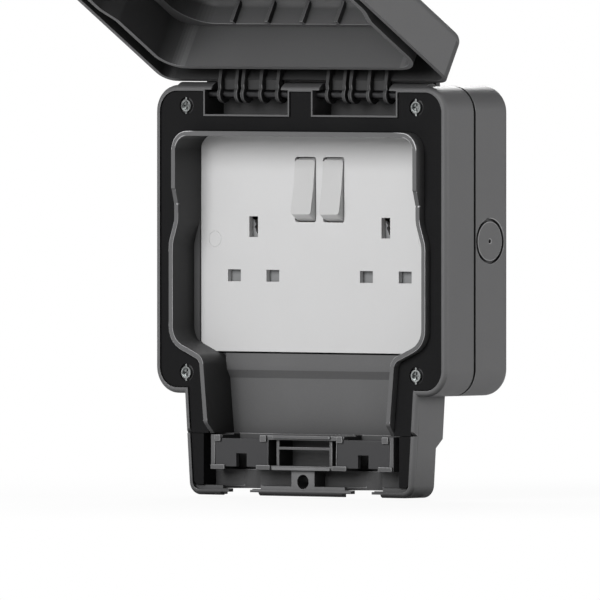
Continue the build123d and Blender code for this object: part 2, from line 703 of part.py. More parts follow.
# Four frame screws with slotted pan heads
with BuildPart() as frame_screws:
    with BuildSketch(front(SEAT)):
        with Locations(*corner_points(FRAME_SCREW_X, FRAME_SCREW_Z)):
            Circle(SCREW_HEAD_R)
    extrude(amount=SCREW_HEAD)
    fillet(frame_screws.faces().sort_by(Axis.Y)[:4].edges(), radius=SCREW_HEAD / 3)
    with BuildSketch(front(SEAT + SCREW_HEAD)):
        with Locations(*corner_points(FRAME_SCREW_X, FRAME_SCREW_Z)):
            Rectangle(SCREW_SLOT, 2 * SCREW_HEAD_R)
    extrude(amount=-SCREW_HEAD / 2, mode=Mode.SUBTRACT)
    with BuildSketch(front(SEAT)):
        with Locations(*corner_points(FRAME_SCREW_X, FRAME_SCREW_Z)):
            Circle(SCREW_R)
    extrude(amount=-SCREW_GRIP)
frame_screws.part.label = "frame_screws"
export_step(frame_screws.part, "parts/frame_screws.step")

# Cable gates: notched leaves that close the front of the carrier
GATE_BACK = CARRIER_FRONT - GATE_THICK
for name, centre in (("cable_gate_left", -GATE_X), ("cable_gate_right", GATE_X)):
    with BuildPart() as cable_gate:
        with BuildSketch(front(GATE_BACK)):
            with Locations((centre, GATE_TOP - GATE_PLAY)):
                Rectangle(GATE_WIDTH, GATE_TOP - GATE_FOOT - GATE_PLAY, align=(Align.CENTER, Align.MAX))
            with Locations((centre, GATE_FOOT)):
                Rectangle(GATE_NOTCH, GATE_NOTCH_TALL, align=(Align.CENTER, Align.MIN), mode=Mode.SUBTRACT)
        extrude(amount=GATE_THICK)
    cable_gate.part.label = name
    export_step(cable_gate.part, f"parts/{name}.step")

# Lid, drawn closed on planes that swing about the hinge axis to the open pose
SWING_FRONT = Vector(0, -cos(radians(LID_OPEN)), sin(radians(LID_OPEN)))
SWING_UP = SWING_FRONT.cross(Vector(1, 0, 0))
HINGE_POINT = Vector(0, -HINGE_DEPTH, HINGE_Z)
LID_ORIGIN = HINGE_POINT - SWING_FRONT * HINGE_DEPTH - SWING_UP * HINGE_Z
LID_PLANE = Plane(origin=LID_ORIGIN, x_dir=(1, 0, 0), z_dir=SWING_FRONT)
LID_AXIS = Axis(LID_ORIGIN, SWING_FRONT)
LID_FACE = LIP + LID_SKIRT
LIP_GROW = COLLAR_WALL + LIP_CLEAR


def lid_side(x):
    """Sketch plane across the lid at x: local x is the closed depth and local y the closed Z."""
    return Plane(origin=LID_ORIGIN + Vector(x, 0, 0), x_dir=SWING_FRONT, z_dir=(-1, 0, 0))


def lid_outline(inset=0.0):
    """Outline of the lid's skirt: the main cover and the part over the chute."""
    with BuildSketch() as outline:
        with Locations((0, (LID_TOP + LID_FOOT) / 2)):
            Rectangle(2 * LID_X, LID_TOP - LID_FOOT)
        fillet(outline.vertices().group_by(Axis.Y)[-1], radius=LID_HINGE_R)
        fillet(outline.vertices().group_by(Axis.Y)[0], radius=LID_R)
        add(chute_outline(LID_CHUTE_GAP))
        if inset:
            offset(amount=-inset, kind=Kind.INTERSECTION)
    return outline.sketch


def bulge_outline(grow=0.0):
    """Raised middle of the lid, over the plugs."""
    with BuildSketch() as outline:
        with Locations((0, (BULGE_TOP + BULGE_FOOT) / 2)):
            RectangleRounded(2 * (BULGE_X + grow), BULGE_TOP - BULGE_FOOT + 2 * grow, BULGE_R + grow)
    return outline.sketch


with BuildPart() as lid:
    with BuildSketch(LID_PLANE.offset(LIP)):
        add(lid_outline())
    extrude(amount=LID_SKIRT + LID_WALL)
    fillet(flat_face(lid, LID_AXIS, LID_FACE + LID_WALL).edges(), radius=LID_EDGE_R)
    with BuildSketch(LID_PLANE.offset(LID_FACE)):
        add(bulge_outline(LID_WALL))
    extrude(amount=BULGE + LID_WALL)
    fillet(flat_face(lid, LID_AXIS, LID_FACE + BULGE + LID_WALL).edges(), radius=BULGE_EDGE_R)
    with BuildSketch(LID_PLANE.offset(LIP)):
        add(lid_outline(LID_WALL))
    extrude(amount=LID_SKIRT, mode=Mode.SUBTRACT)
    fillet(flat_face(lid, LID_AXIS, LID_FACE).edges(), radius=LID_EDGE_R - LID_WALL)
    with BuildSketch(LID_PLANE.offset(LIP)):
        add(bulge_outline())
    extrude(amount=LID_SKIRT + BULGE, mode=Mode.SUBTRACT)
    fillet(flat_face(lid, LID_AXIS, LID_FACE + BULGE).edges(), radius=BULGE_EDGE_R - LID_WALL)
    # Inner wall that presses on the mat round the collar
    with BuildSketch(LID_PLANE.offset(LIP)):
        add(collar_ring(LIP_GROW, LID_WALL))
    extrude(amount=LID_SKIRT + LID_WALL / 2)
    # Ribs over the hinge side of the bulge
    with BuildSketch(LID_PLANE.offset(LID_FACE)):
        with Locations((0, BULGE_TOP + RIB_ROOT)):
            with GridLocations(RIB_SPACING, 1, RIB_COUNT, 1):
                Rectangle(RIB_THICK, RIB_PROUD + RIB_ROOT, align=(Align.CENTER, Align.MAX))
    extrude(amount=BULGE - RIB_SHORT)
    # Hinge arms and their bores
    for centre in HINGE_CENTRES:
        for shift in ARM_OFFSETS:
            with BuildSketch(lid_side(centre + shift + ARM_THICK / 2)):
                with BuildLine():
                    Polyline(
                        (HINGE_DEPTH - KNUCKLE_R / 2, HINGE_Z - KNUCKLE_R / 2),
                        (HINGE_DEPTH + PIN_R, HINGE_Z - KNUCKLE_R - PIN_R / 2),
                        (LIP + ARM_REACH, LID_TOP - ARM_FALL),
                        (LIP + ARM_REACH, LID_TOP - LID_WALL / 2),
                        (LIP, LID_TOP),
                        (HINGE_DEPTH + KNUCKLE_R, HINGE_Z + PIN_R / 2),
                        (HINGE_DEPTH, HINGE_Z),
                        close=True,
                    )
                make_face()
                with Locations((HINGE_DEPTH, HINGE_Z)):
                    Circle(KNUCKLE_R)
                    Circle(PIN_R + PIN_FIT, mode=Mode.SUBTRACT)
            extrude(amount=ARM_THICK)
    # Cable notches in the foot of the skirt, and the gap that leaves the padlock lug free
    with BuildSketch(LID_PLANE.offset(LIP)):
        with Locations((-GATE_X, CHUTE_FOOT), (GATE_X, CHUTE_FOOT)):
            Rectangle(2 * TROUGH_R, 2 * CHUTE_RIM + LID_CHUTE_GAP)
    extrude(amount=TROUGH_R, mode=Mode.SUBTRACT)
    with BuildSketch(LID_PLANE.offset(LIP)):
        with Locations((0, CHUTE_FOOT)):
            Rectangle(2 * HASP_X, 2 * (CARRIER_FOOT - CHUTE_FOOT))
    extrude(amount=LID_SKIRT + LID_WALL, mode=Mode.SUBTRACT)
    # Hasp plate that meets the lug, with the padlock hole through it
    with BuildSketch(LID_PLANE.offset(LIP)):
        with Locations((0, CARRIER_FOOT + LID_WALL)):
            Rectangle(2 * HASP_X + LID_WALL, CARRIER_FOOT - CHUTE_FOOT, align=(Align.CENTER, Align.MAX))
        with Locations((0, LUG_HOLE_Z)):
            Circle(LUG_HOLE_R, mode=Mode.SUBTRACT)
    extrude(amount=LID_WALL)
    with BuildSketch(LID_PLANE.offset(LIP)):
        with Locations((0, CARRIER_FOOT)):
            Rectangle(2 * (HASP_X + LID_WALL), LID_WALL, align=(Align.CENTER, Align.MIN))
    extrude(amount=LID_SKIRT + LID_WALL / 2)
lid.part.label = "lid"
export_step(lid.part, "parts/lid.step")

# Socket plate with pin slots, switch windows and recesses for the screw caps
OUTLETS = (("left", -OUTLET_X), ("right", OUTLET_X))
LINE_POINTS = [(x + s * PIN_PITCH / 2, LINE_Z) for _, x in OUTLETS for s in (-1, 1)]
CAP_SEAT = PLATE_FRONT - CAP_THICK
HEAD_SEAT = CAP_SEAT - PLATE_HEAD
with BuildPart() as socket_plate:
    with BuildSketch(front(PLATE_BACK)):
        with Locations((0, (PLATE_TOP + PLATE_FOOT) / 2)):
            RectangleRounded(2 * PLATE_X, PLATE_TOP - PLATE_FOOT, PLATE_R)
        with Locations((-OUTLET_X, EARTH_Z), (OUTLET_X, EARTH_Z)):
            Rectangle(*EARTH_SLOT, mode=Mode.SUBTRACT)
        with Locations(*LINE_POINTS):
            Rectangle(*LINE_SLOT, mode=Mode.SUBTRACT)
        with Locations((-ROCKER_X, ROCKER_Z), (ROCKER_X, ROCKER_Z)):
            RectangleRounded(*ROCKER_WINDOW, WINDOW_R, mode=Mode.SUBTRACT)
        with Locations((-PLATE_SCREW_X, 0), (PLATE_SCREW_X, 0)):
            Circle(PLATE_SCREW_R + 2 * SCREW_FIT, mode=Mode.SUBTRACT)
    extrude(amount=PLATE_THICK)
    with BuildSketch(front(HEAD_SEAT)):
        with Locations((-PLATE_SCREW_X, 0), (PLATE_SCREW_X, 0)):
            Circle(CAP_R + CAP_FIT)
    extrude(amount=PLATE_FRONT - HEAD_SEAT, mode=Mode.SUBTRACT)
socket_plate.part.label = "socket_plate"
export_step(socket_plate.part, "parts/socket_plate.step")

# Screws that hold the plate, and the flush caps over them
with BuildPart() as plate_screws:
    with BuildSketch(front(HEAD_SEAT)):
        with Locations((-PLATE_SCREW_X, 0), (PLATE_SCREW_X, 0)):
            Circle(CAP_R - CAP_FIT)
    extrude(amount=CAP_SEAT - HEAD_SEAT)
    with BuildSketch(front(HEAD_SEAT)):
        with Locations((-PLATE_SCREW_X, 0), (PLATE_SCREW_X, 0)):
            Circle(PLATE_SCREW_R)
    extrude(amount=-PLATE_SCREW_GRIP)
plate_screws.part.label = "plate_screws"
export_step(plate_screws.part, "parts/plate_screws.step")

with BuildPart() as screw_caps:
    with BuildSketch(front(CAP_SEAT)):
        with Locations((-PLATE_SCREW_X, 0), (PLATE_SCREW_X, 0)):
            Circle(CAP_R)
    extrude(amount=CAP_THICK)
screw_caps.part.label = "screw_caps"
export_step(screw_caps.part, "parts/screw_caps.step")

# Moulded base behind the plate: a tray with lugs that carry the rockers' pivots
TERMINALS = ((0, MECH_TOP - TERMINAL), (-PIN_PITCH / 2, LINE_Z - TERMINAL), (0, EARTH_Z))
LUG_SPANS = (
    (-ROCKER_X + ROCKER_WIDTH / 2 + LUG_GAP, ROCKER_X - ROCKER_WIDTH / 2 - LUG_GAP),
    (ROCKER_X + ROCKER_WIDTH / 2 + LUG_GAP, ROCKER_X + ROCKER_WIDTH / 2 + LUG_GAP + LUG_THICK),
    (-ROCKER_X - ROCKER_WIDTH / 2 - LUG_GAP - LUG_THICK, -ROCKER_X - ROCKER_WIDTH / 2 - LUG_GAP),
)
with BuildPart() as mechanism_base:
    with BuildSketch(front(MECH_BACK)):
        with Locations((0, (MECH_TOP + MECH_FOOT) / 2)):
            Rectangle(2 * MECH_X, MECH_TOP - MECH_FOOT)
    extrude(amount=PLATE_BACK - MECH_BACK)
    with BuildSketch(front(MECH_FLOOR)):
        with Locations((0, (MECH_TOP + MECH_FOOT) / 2)):
            Rectangle(2 * (MECH_X - MECH_WALL), MECH_TOP - MECH_FOOT - 2 * MECH_WALL)
    extrude(amount=PLATE_BACK - MECH_FLOOR, mode=Mode.SUBTRACT)
    for low, high in LUG_SPANS:
        with BuildSketch(side(high)):
            with Locations((MECH_FLOOR, ROCKER_Z)):
                Rectangle(PIVOT + LUG_HALF - MECH_FLOOR, 2 * LUG_HALF, align=(Align.MIN, Align.CENTER))
            with Locations((PIVOT, ROCKER_Z)):
                Circle(PIVOT_R + PIN_FIT, mode=Mode.SUBTRACT)
        extrude(amount=high - low)
    with BuildSketch(front(MECH_BACK)):
        with Locations(*TERMINALS):
            Circle(TERMINAL_SCREW_R + SCREW_FIT)
    extrude(amount=MECH_WALL, mode=Mode.SUBTRACT)
mechanism_base.part.label = "mechanism_base"
export_step(mechanism_base.part, "parts/mechanism_base.step")

# Rockers, tipped so that the top is in and the foot stands proud; their ends are round about the pivot
TRUNNION = LUG_GAP + LUG_THICK / 2
ROCKER_RISE = PLATE_FRONT + ROCKER_PROUD - PIVOT
ROCKER_HALF = sqrt(ROCKER_R**2 - ROCKER_RISE**2)
for name, centre in (("left", -ROCKER_X), ("right", ROCKER_X)):
    tipped = Plane(
        origin=(centre + ROCKER_WIDTH / 2, -PIVOT, ROCKER_Z),
        x_dir=(0, -cos(radians(ROCKER_TILT)), sin(radians(ROCKER_TILT))),
        z_dir=(-1, 0, 0),
    )
    with BuildPart() as rocker:
        with BuildSketch(tipped):
            with BuildLine():
                Polyline(
                    (ROCKER_RISE, -ROCKER_HALF), (ROCKER_RISE - ROCKER_DISH, 0), (ROCKER_RISE, ROCKER_HALF)
                )
                RadiusArc((ROCKER_RISE, ROCKER_HALF), (0, ROCKER_R), -ROCKER_R)
                Polyline((0, ROCKER_R), (-STEM, STEM), (-STEM, -STEM), (0, -ROCKER_R))
                RadiusArc((0, -ROCKER_R), (ROCKER_RISE, -ROCKER_HALF), -ROCKER_R)
            make_face()
        extrude(amount=ROCKER_WIDTH)
        fillet(rocker.edges().filter_by(GeomType.CIRCLE), radius=ROCKER_END_R)
        with BuildSketch(side(centre + ROCKER_WIDTH / 2 + TRUNNION)):
            with Locations((PIVOT, ROCKER_Z)):
                Circle(PIVOT_R)
        extrude(amount=ROCKER_WIDTH + 2 * TRUNNION)
    rocker.part.label = f"rocker_{name}"
    export_step(rocker.part, f"parts/rocker_{name}.step")
    # Moving contact under the rocker's stem
    with BuildPart() as switch_contact:
        with BuildSketch(tipped.offset((ROCKER_WIDTH - CLIP_WIDTH) / 2)):
            with Locations((-STEM, 0)):
                Rectangle(STRIP, 2 * SWITCH_REACH + STRIP, align=(Align.MAX, Align.CENTER))
        extrude(amount=CLIP_WIDTH)
    switch_contact.part.label = f"switch_contact_{name}"
    export_step(switch_contact.part, f"parts/switch_contact_{name}.step")

# Shutters behind the pin slots, with flat zigzag return springs below them
SHUTTER_FRONT = PLATE_BACK - SHUTTER_GAP
SPRING_FOOT = MECH_FOOT + MECH_WALL
for name, centre in OUTLETS:
    with BuildPart() as shutter:
        with BuildSketch(front(SHUTTER_FRONT - SHUTTER_THICK)):
            with Locations((centre, SHUTTER_PAD[0])):
                Rectangle(2 * SHUTTER_X, SHUTTER_PAD[1] - SHUTTER_PAD[0], align=(Align.CENTER, Align.MIN))
                Rectangle(
                    2 * SHUTTER_STEM_X, SHUTTER_STEM_TOP - SHUTTER_PAD[0], align=(Align.CENTER, Align.MIN)
                )
            with BuildLine():
                Polyline(
                    (centre - SHUTTER_STEM_X, SHUTTER_STEM_TOP),
                    (centre - HORN_SHIFT + HORN_X, SHUTTER_STEM_TOP),
                    (centre - HORN_SHIFT - HORN_X / 2, EARTH_Z),
                    (centre - HORN_SHIFT + HORN_X / 3, EARTH_Z + HORN_X),
                    (centre - HORN_SHIFT - HORN_X, HORN_TOP),
                    (centre - SHUTTER_STEM_X, HORN_TOP),
                    close=True,
                )
            make_face()
        extrude(amount=SHUTTER_THICK)
    shutter.part.label = f"shutter_{name}"
    export_step(shutter.part, f"parts/shutter_{name}.step")
    pitch = (SHUTTER_PAD[0] - SPRING_FOOT) / (2 * SPRING_TURNS)
    with BuildPart() as spring:
        with BuildSketch(front(SHUTTER_FRONT - SHUTTER_THICK)):
            with BuildLine():
                Polyline(
                    *[
                        (centre + (SPRING_X if turn % 2 else -SPRING_X), SPRING_FOOT + turn * pitch)
                        for turn in range(2 * SPRING_TURNS + 1)
                    ]
                )
            trace(line_width=pitch / 3)
            with Locations((centre, SPRING_FOOT)):
                Rectangle(
                    4 * SPRING_X,
                    SHUTTER_PAD[0] - SPRING_FOOT,
                    align=(Align.CENTER, Align.MIN),
                    mode=Mode.INTERSECT,
                )
        extrude(amount=SPRING_THICK)
    spring.part.label = f"shutter_spring_{name}"
    export_step(spring.part, f"parts/shutter_spring_{name}.step")


def clip_leaves(points, along_x):
    """Two leaves each side of a pin, to stand on a strip."""
    reach = (CLIP_GAP + CLIP_LEAF) / 2
    leaf = (CLIP_WIDTH, CLIP_LEAF) if along_x else (CLIP_LEAF, CLIP_WIDTH)
    with BuildSketch() as leaves:
        for x, z in points:
            for sign in (-reach, reach):
                with Locations((x, z + sign) if along_x else (x + sign, z)):
                    Rectangle(*leaf)
    return leaves.sketch


# Brass: neutral bar and earth bar lie on the floor of the tray, and the live strips step over them
NEUTRAL_POINTS = [(x - PIN_PITCH / 2, LINE_Z) for _, x in OUTLETS]
LIVE_POINTS = [(x + PIN_PITCH / 2, LINE_Z) for _, x in OUTLETS]
EARTH_POINTS = [(x, EARTH_Z) for _, x in OUTLETS]
CLIP_TALL = CLIP_GAP + 2 * CLIP_LEAF
BAR_TOP = MECH_FLOOR + STRIP
LIVE_FLOOR = MECH_FLOOR + LIVE_STEP
LIVE_TOP = LIVE_FLOOR + STRIP
CLIP_TOP = SHUTTER_FRONT - SHUTTER_THICK - CLIP_CLEAR
SWITCH_TOP = PIVOT - STEM - STRIP - PIVOT_CLEAR - (SWITCH_REACH + STRIP) * sin(radians(ROCKER_TILT))
with BuildPart() as neutral_bar:
    with BuildSketch(front(MECH_FLOOR)):
        with Locations(TERMINALS[1]):
            Rectangle(2 * OUTLET_X + CLIP_WIDTH, STRIP_WIDE)
        with Locations(*[(x, z - TERMINAL / 2) for x, z in NEUTRAL_POINTS]):
            Rectangle(CLIP_WIDTH, TERMINAL + CLIP_TALL)
    extrude(amount=STRIP)
    with BuildSketch(front(BAR_TOP)):
        add(clip_leaves(NEUTRAL_POINTS, True))
    extrude(amount=CLIP_TOP - BAR_TOP)
    with BuildSketch(front(BAR_TOP)):
        with Locations(TERMINALS[1]):
            Rectangle(TERMINAL, STRIP_WIDE)
    extrude(amount=TERMINAL_TALL - STRIP)
    with BuildSketch(front(MECH_FLOOR)):
        with Locations(TERMINALS[1]):
            Circle(TERMINAL_SCREW_R + SCREW_FIT)
    extrude(amount=TERMINAL_TALL, mode=Mode.SUBTRACT)
neutral_bar.part.label = "neutral_bar"
export_step(neutral_bar.part, "parts/neutral_bar.step")

with BuildPart() as earth_bar:
    with BuildSketch(front(MECH_FLOOR)):
        with Locations(TERMINALS[2]):
            Rectangle(2 * OUTLET_X + CLIP_TALL, STRIP_WIDE)
    extrude(amount=STRIP)
    with BuildSketch(front(BAR_TOP)):
        add(clip_leaves(EARTH_POINTS, False))
    extrude(amount=CLIP_TOP - BAR_TOP)
    with BuildSketch(front(BAR_TOP)):
        with Locations(TERMINALS[2]):
            Rectangle(TERMINAL, STRIP_WIDE)
    extrude(amount=TERMINAL_TALL - STRIP)
    with BuildSketch(front(MECH_FLOOR)):
        with Locations(TERMINALS[2]):
            Circle(TERMINAL_SCREW_R + SCREW_FIT)
    extrude(amount=TERMINAL_TALL, mode=Mode.SUBTRACT)
earth_bar.part.label = "earth_bar"
export_step(earth_bar.part, "parts/earth_bar.step")

STRIP_Z = LINE_Z + TERMINAL + STRIP_WIDE / 2
for name, (x, z), switch_x in zip(("left", "right"), LIVE_POINTS, (-ROCKER_X, ROCKER_X)):
    with BuildPart() as live_contact:
        with BuildSketch(front(MECH_FLOOR)):
            with Locations((x, z)):
                Rectangle(CLIP_WIDTH, CLIP_TALL)
        extrude(amount=LIVE_STEP + STRIP)
        with BuildSketch(front(LIVE_FLOOR)):
            with Locations((x, z)):
                Rectangle(CLIP_WIDTH, STRIP_Z - z, align=(Align.CENTER, Align.MIN))
            with Locations(((x + switch_x) / 2, STRIP_Z)):
                Rectangle(abs(x - switch_x) + CLIP_WIDTH, STRIP_WIDE)
            with Locations((switch_x, STRIP_Z)):
                Rectangle(
                    CLIP_WIDTH, ROCKER_Z - SWITCH_REACH + STRIP - STRIP_Z, align=(Align.CENTER, Align.MIN)
                )
        extrude(amount=STRIP)
        with BuildSketch(front(LIVE_TOP)):
            with Locations((switch_x, ROCKER_Z - SWITCH_REACH)):
                Rectangle(CLIP_WIDTH, 2 * STRIP)
        extrude(amount=SWITCH_TOP - LIVE_TOP)
        with BuildSketch(front(LIVE_TOP)):
            add(clip_leaves([(x, z)], True))
        extrude(amount=CLIP_TOP - LIVE_TOP)
    live_contact.part.label = f"live_contact_{name}"
    export_step(live_contact.part, f"parts/live_contact_{name}.step")

with BuildPart() as live_feed_bar:
    with BuildSketch(front(MECH_FLOOR)):
        with Locations(TERMINALS[0]):
            Rectangle(2 * ROCKER_X + CLIP_WIDTH, STRIP_WIDE)
        with Locations((-ROCKER_X, TERMINALS[0][1]), (ROCKER_X, TERMINALS[0][1])):
            Rectangle(
                CLIP_WIDTH, TERMINALS[0][1] - ROCKER_Z - SWITCH_REACH + STRIP, align=(Align.CENTER, Align.MAX)
            )
    extrude(amount=STRIP)
    with BuildSketch(front(BAR_TOP)):
        with Locations((-ROCKER_X, ROCKER_Z + SWITCH_REACH), (ROCKER_X, ROCKER_Z + SWITCH_REACH)):
            Rectangle(CLIP_WIDTH, 2 * STRIP)
    extrude(amount=SWITCH_TOP - BAR_TOP)
    with BuildSketch(front(BAR_TOP)):
        with Locations(TERMINALS[0]):
            Rectangle(TERMINAL, STRIP_WIDE)
    extrude(amount=TERMINAL_TALL - STRIP)
    with BuildSketch(front(MECH_FLOOR)):
        with Locations(TERMINALS[0]):
            Circle(TERMINAL_SCREW_R + SCREW_FIT)
    extrude(amount=TERMINAL_TALL, mode=Mode.SUBTRACT)
live_feed_bar.part.label = "live_feed_bar"
export_step(live_feed_bar.part, "parts/live_feed_bar.step")

with BuildPart() as terminal_screws:
    with BuildSketch(front(MECH_BACK - TERMINAL_HEAD)):
        with Locations(*TERMINALS):
            Circle(TERMINAL_HEAD_R)
    extrude(amount=TERMINAL_HEAD)
    with BuildSketch(front(MECH_BACK)):
        with Locations(*TERMINALS):
            Circle(TERMINAL_SCREW_R)
    extrude(amount=MECH_WALL + TERMINAL_TALL / 2)
terminal_screws.part.label = "terminal_screws"
export_step(terminal_screws.part, "parts/terminal_screws.step")
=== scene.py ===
"""Weatherproof double socket: finishes, screws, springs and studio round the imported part, as an add-on."""

import json
import math

import bmesh
import bpy
from bpy.props import FloatProperty, FloatVectorProperty, PointerProperty
from bpy.types import Operator, Panel, PropertyGroup
from mathutils import Matrix, Vector
from mathutils.geometry import area_tri, intersect_point_line, tessellate_polygon

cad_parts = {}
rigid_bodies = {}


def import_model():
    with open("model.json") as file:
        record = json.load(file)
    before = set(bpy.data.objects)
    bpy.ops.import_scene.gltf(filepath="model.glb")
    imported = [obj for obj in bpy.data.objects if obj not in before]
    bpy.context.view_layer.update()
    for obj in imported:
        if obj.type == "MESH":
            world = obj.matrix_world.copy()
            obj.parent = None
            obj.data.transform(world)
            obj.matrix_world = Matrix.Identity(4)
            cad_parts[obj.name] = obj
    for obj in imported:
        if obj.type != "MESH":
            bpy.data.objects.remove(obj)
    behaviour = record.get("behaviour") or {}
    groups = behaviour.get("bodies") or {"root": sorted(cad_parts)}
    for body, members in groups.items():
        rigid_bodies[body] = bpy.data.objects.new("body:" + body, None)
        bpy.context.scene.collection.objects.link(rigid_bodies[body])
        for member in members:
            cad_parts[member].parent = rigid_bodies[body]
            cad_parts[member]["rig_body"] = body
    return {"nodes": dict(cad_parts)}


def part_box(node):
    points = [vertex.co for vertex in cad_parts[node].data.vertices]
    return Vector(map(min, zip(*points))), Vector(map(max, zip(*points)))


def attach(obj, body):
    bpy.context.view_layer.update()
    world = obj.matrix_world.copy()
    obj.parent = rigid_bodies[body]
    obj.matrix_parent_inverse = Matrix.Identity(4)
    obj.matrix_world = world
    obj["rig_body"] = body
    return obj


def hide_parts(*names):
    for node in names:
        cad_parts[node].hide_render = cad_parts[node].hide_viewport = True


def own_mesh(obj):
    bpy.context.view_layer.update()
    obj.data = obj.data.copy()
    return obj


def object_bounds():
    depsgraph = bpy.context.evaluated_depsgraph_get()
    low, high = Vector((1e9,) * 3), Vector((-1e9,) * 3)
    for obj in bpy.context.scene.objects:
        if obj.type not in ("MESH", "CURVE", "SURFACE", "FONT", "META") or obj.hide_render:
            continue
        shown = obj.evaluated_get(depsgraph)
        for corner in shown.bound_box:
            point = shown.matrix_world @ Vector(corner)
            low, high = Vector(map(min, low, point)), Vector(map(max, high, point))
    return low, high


bl_info = {
    "name": "Weatherproof double socket",
    "version": (1, 0, 0),
    "blender": (4, 5, 0),
    "location": "View3D > Sidebar > Socket",
    "description": "Finishes, screws, springs and studio for a weatherproof double socket",
    "category": "Object",
}

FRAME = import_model()
NODES = FRAME["nodes"]
CAD_BOX = [list(corner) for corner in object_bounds()]
MM = 0.001
CORNER_ANGLE = math.radians(28.0)
SMOOTH_ANGLE = 36.0
SMALLEST_RADIUS = 0.06 * MM
# Painted highlight on rounded edges away from the rim, as a share of the rim's.
EDGE_HIGHLIGHT = 0.35
# Painted light on the front of the padlock lug.
LUG_HIGHLIGHT = 0.2
RIM_LEAD = 1.2 * MM
# Painted shade in corners from ambient occlusion: the share of colour kept deepest in, and its reach.
HOUSING_CORNER_SHADE = (0.3, 34.0 * MM)
ZINC_CORNER_SHADE = (0.04, 2.5 * MM)
LAMP_DISTANCE = 1.5
LAMP_SIZE = 0.9


class SocketFinishes(PropertyGroup):
    """Colours and surface sizes of the mouldings and metals."""

    housing: FloatVectorProperty(
        name="Housing",
        description="Grey of the box, frame and lid",
        subtype="COLOR",
        size=3,
        min=0,
        max=1,
        default=(0.118, 0.118, 0.12),
    )
    seal: FloatVectorProperty(
        name="Seals",
        description="Black of the mat and the seam seal",
        subtype="COLOR",
        size=3,
        min=0,
        max=1,
        default=(0.008, 0.008, 0.0085),
    )
    plate: FloatVectorProperty(
        name="Plate",
        description="Pale grey of the socket plate",
        subtype="COLOR",
        size=3,
        min=0,
        max=1,
        default=(0.545, 0.545, 0.547),
    )
    rocker: FloatVectorProperty(
        name="Rockers",
        description="White of the switches",
        subtype="COLOR",
        size=3,
        min=0,
        max=1,
        default=(0.49, 0.49, 0.49),
    )
    gate: FloatVectorProperty(
        name="Gates",
        description="Dark grey of the cable gates",
        subtype="COLOR",
        size=3,
        min=0,
        max=1,
        default=(0.048, 0.048, 0.05),
    )
    shutter: FloatVectorProperty(
        name="Shutters",
        description="Grey of the safety shutters",
        subtype="COLOR",
        size=3,
        min=0,
        max=1,
        default=(0.2, 0.203, 0.206),
    )
    base: FloatVectorProperty(
        name="Base",
        description="White of the mechanism's base",
        subtype="COLOR",
        size=3,
        min=0,
        max=1,
        default=(0.7, 0.7, 0.69),
    )
    zinc: FloatVectorProperty(
        name="Zinc",
        description="Plated screws",
        subtype="COLOR",
        size=3,
        min=0,
        max=1,
        default=(0.62, 0.65, 0.645),
    )
    steel: FloatVectorProperty(
        name="Steel",
        description="Bright steel of the springs",
        subtype="COLOR",
        size=3,
        min=0,
        max=1,
        default=(0.5, 0.5, 0.51),
    )
    pin: FloatVectorProperty(
        name="Hinge pins",
        description="Blackened steel of the hinge pins",
        subtype="COLOR",
        size=3,
        min=0,
        max=1,
        default=(0.06, 0.06, 0.062),
    )
    brass: FloatVectorProperty(
        name="Brass",
        description="Contacts and bars",
        subtype="COLOR",
        size=3,
        min=0,
        max=1,
        default=(0.72, 0.52, 0.22),
    )
    edge: FloatProperty(
        name="Edge radius",
        description="Rounding of the housing's moulded edges",
        subtype="DISTANCE",
        unit="LENGTH",
        default=0.35 * MM,
        min=0.05 * MM,
        max=1.0 * MM,
    )
    rim: FloatProperty(
        name="Collar rim",
        description="Rounding of the seal collar's rim",
        subtype="DISTANCE",
        unit="LENGTH",
        default=0.85 * MM,
        min=0.05 * MM,
        max=1.0 * MM,
    )
    tail_inset: FloatProperty(
        name="Tail inset",
        description="From a cable gate's end to the rubber strip beside it",
        subtype="DISTANCE",
        unit="LENGTH",
        default=6.2 * MM,
    )
    tail_top: FloatProperty(
        name="Tail reach, top",
        description="From the middle to the strip's outer side at its top",
        subtype="DISTANCE",
        unit="LENGTH",
        default=63.4 * MM,
    )
    tail_bottom: FloatProperty(
        name="Tail reach, foot",
        description="From the middle to the strip's outer side at its foot",
        subtype="DISTANCE",
        unit="LENGTH",
        default=61.85 * MM,
    )
    tail_foot: FloatProperty(
        name="Tail foot",
        description="From the foot of the frame up to the strip's end",
        subtype="DISTANCE",
        unit="LENGTH",
        default=4.6 * MM,
    )
    tail_depth: FloatProperty(
        name="Tail depth",
        description="From the strip's face down to the tray it stands on",
        subtype="DISTANCE",
        unit="LENGTH",
        default=9.3 * MM,
    )
    grain: FloatProperty(
        name="Grain",
        description="Width of one grain of the moulded texture",
        subtype="DISTANCE",
        unit="LENGTH",
        default=0.45 * MM,
        min=0.1 * MM,
        max=5 * MM,
    )


class SocketScrews(PropertyGroup):
    """Sizes of the screw heads."""

    head_radius: FloatProperty(
        name="Head radius",
        description="Radius of a frame screw's head",
        subtype="DISTANCE",
        unit="LENGTH",
        default=2.7 * MM,
    )
    head_height: FloatProperty(
        name="Head height",
        description="Height of a frame screw's head",
        subtype="DISTANCE",
        unit="LENGTH",
        default=1.7 * MM,
    )
    slot_width: FloatProperty(
        name="Slot width",
        description="Width of the slot across the head",
        subtype="DISTANCE",
        unit="LENGTH",
        default=0.8 * MM,
    )
    shank_radius: FloatProperty(
        name="Shank radius",
        description="Radius of a frame screw's shank",
        subtype="DISTANCE",
        unit="LENGTH",
        default=1.9 * MM,
    )


class SocketSprings(PropertyGroup):
    """Sizes of the shutters' return springs."""

    radius: FloatProperty(
        name="Coil radius",
        description="Radius of the coil to the middle of its wire",
        subtype="DISTANCE",
        unit="LENGTH",
        default=1.2 * MM,
    )
    wire: FloatProperty(
        name="Wire radius",
        description="Radius of the spring wire",
        subtype="DISTANCE",
        unit="LENGTH",
        default=0.2 * MM,
    )
    turns: FloatProperty(name="Turns", description="Turns of each spring", default=6.0, min=1.0, max=20.0)


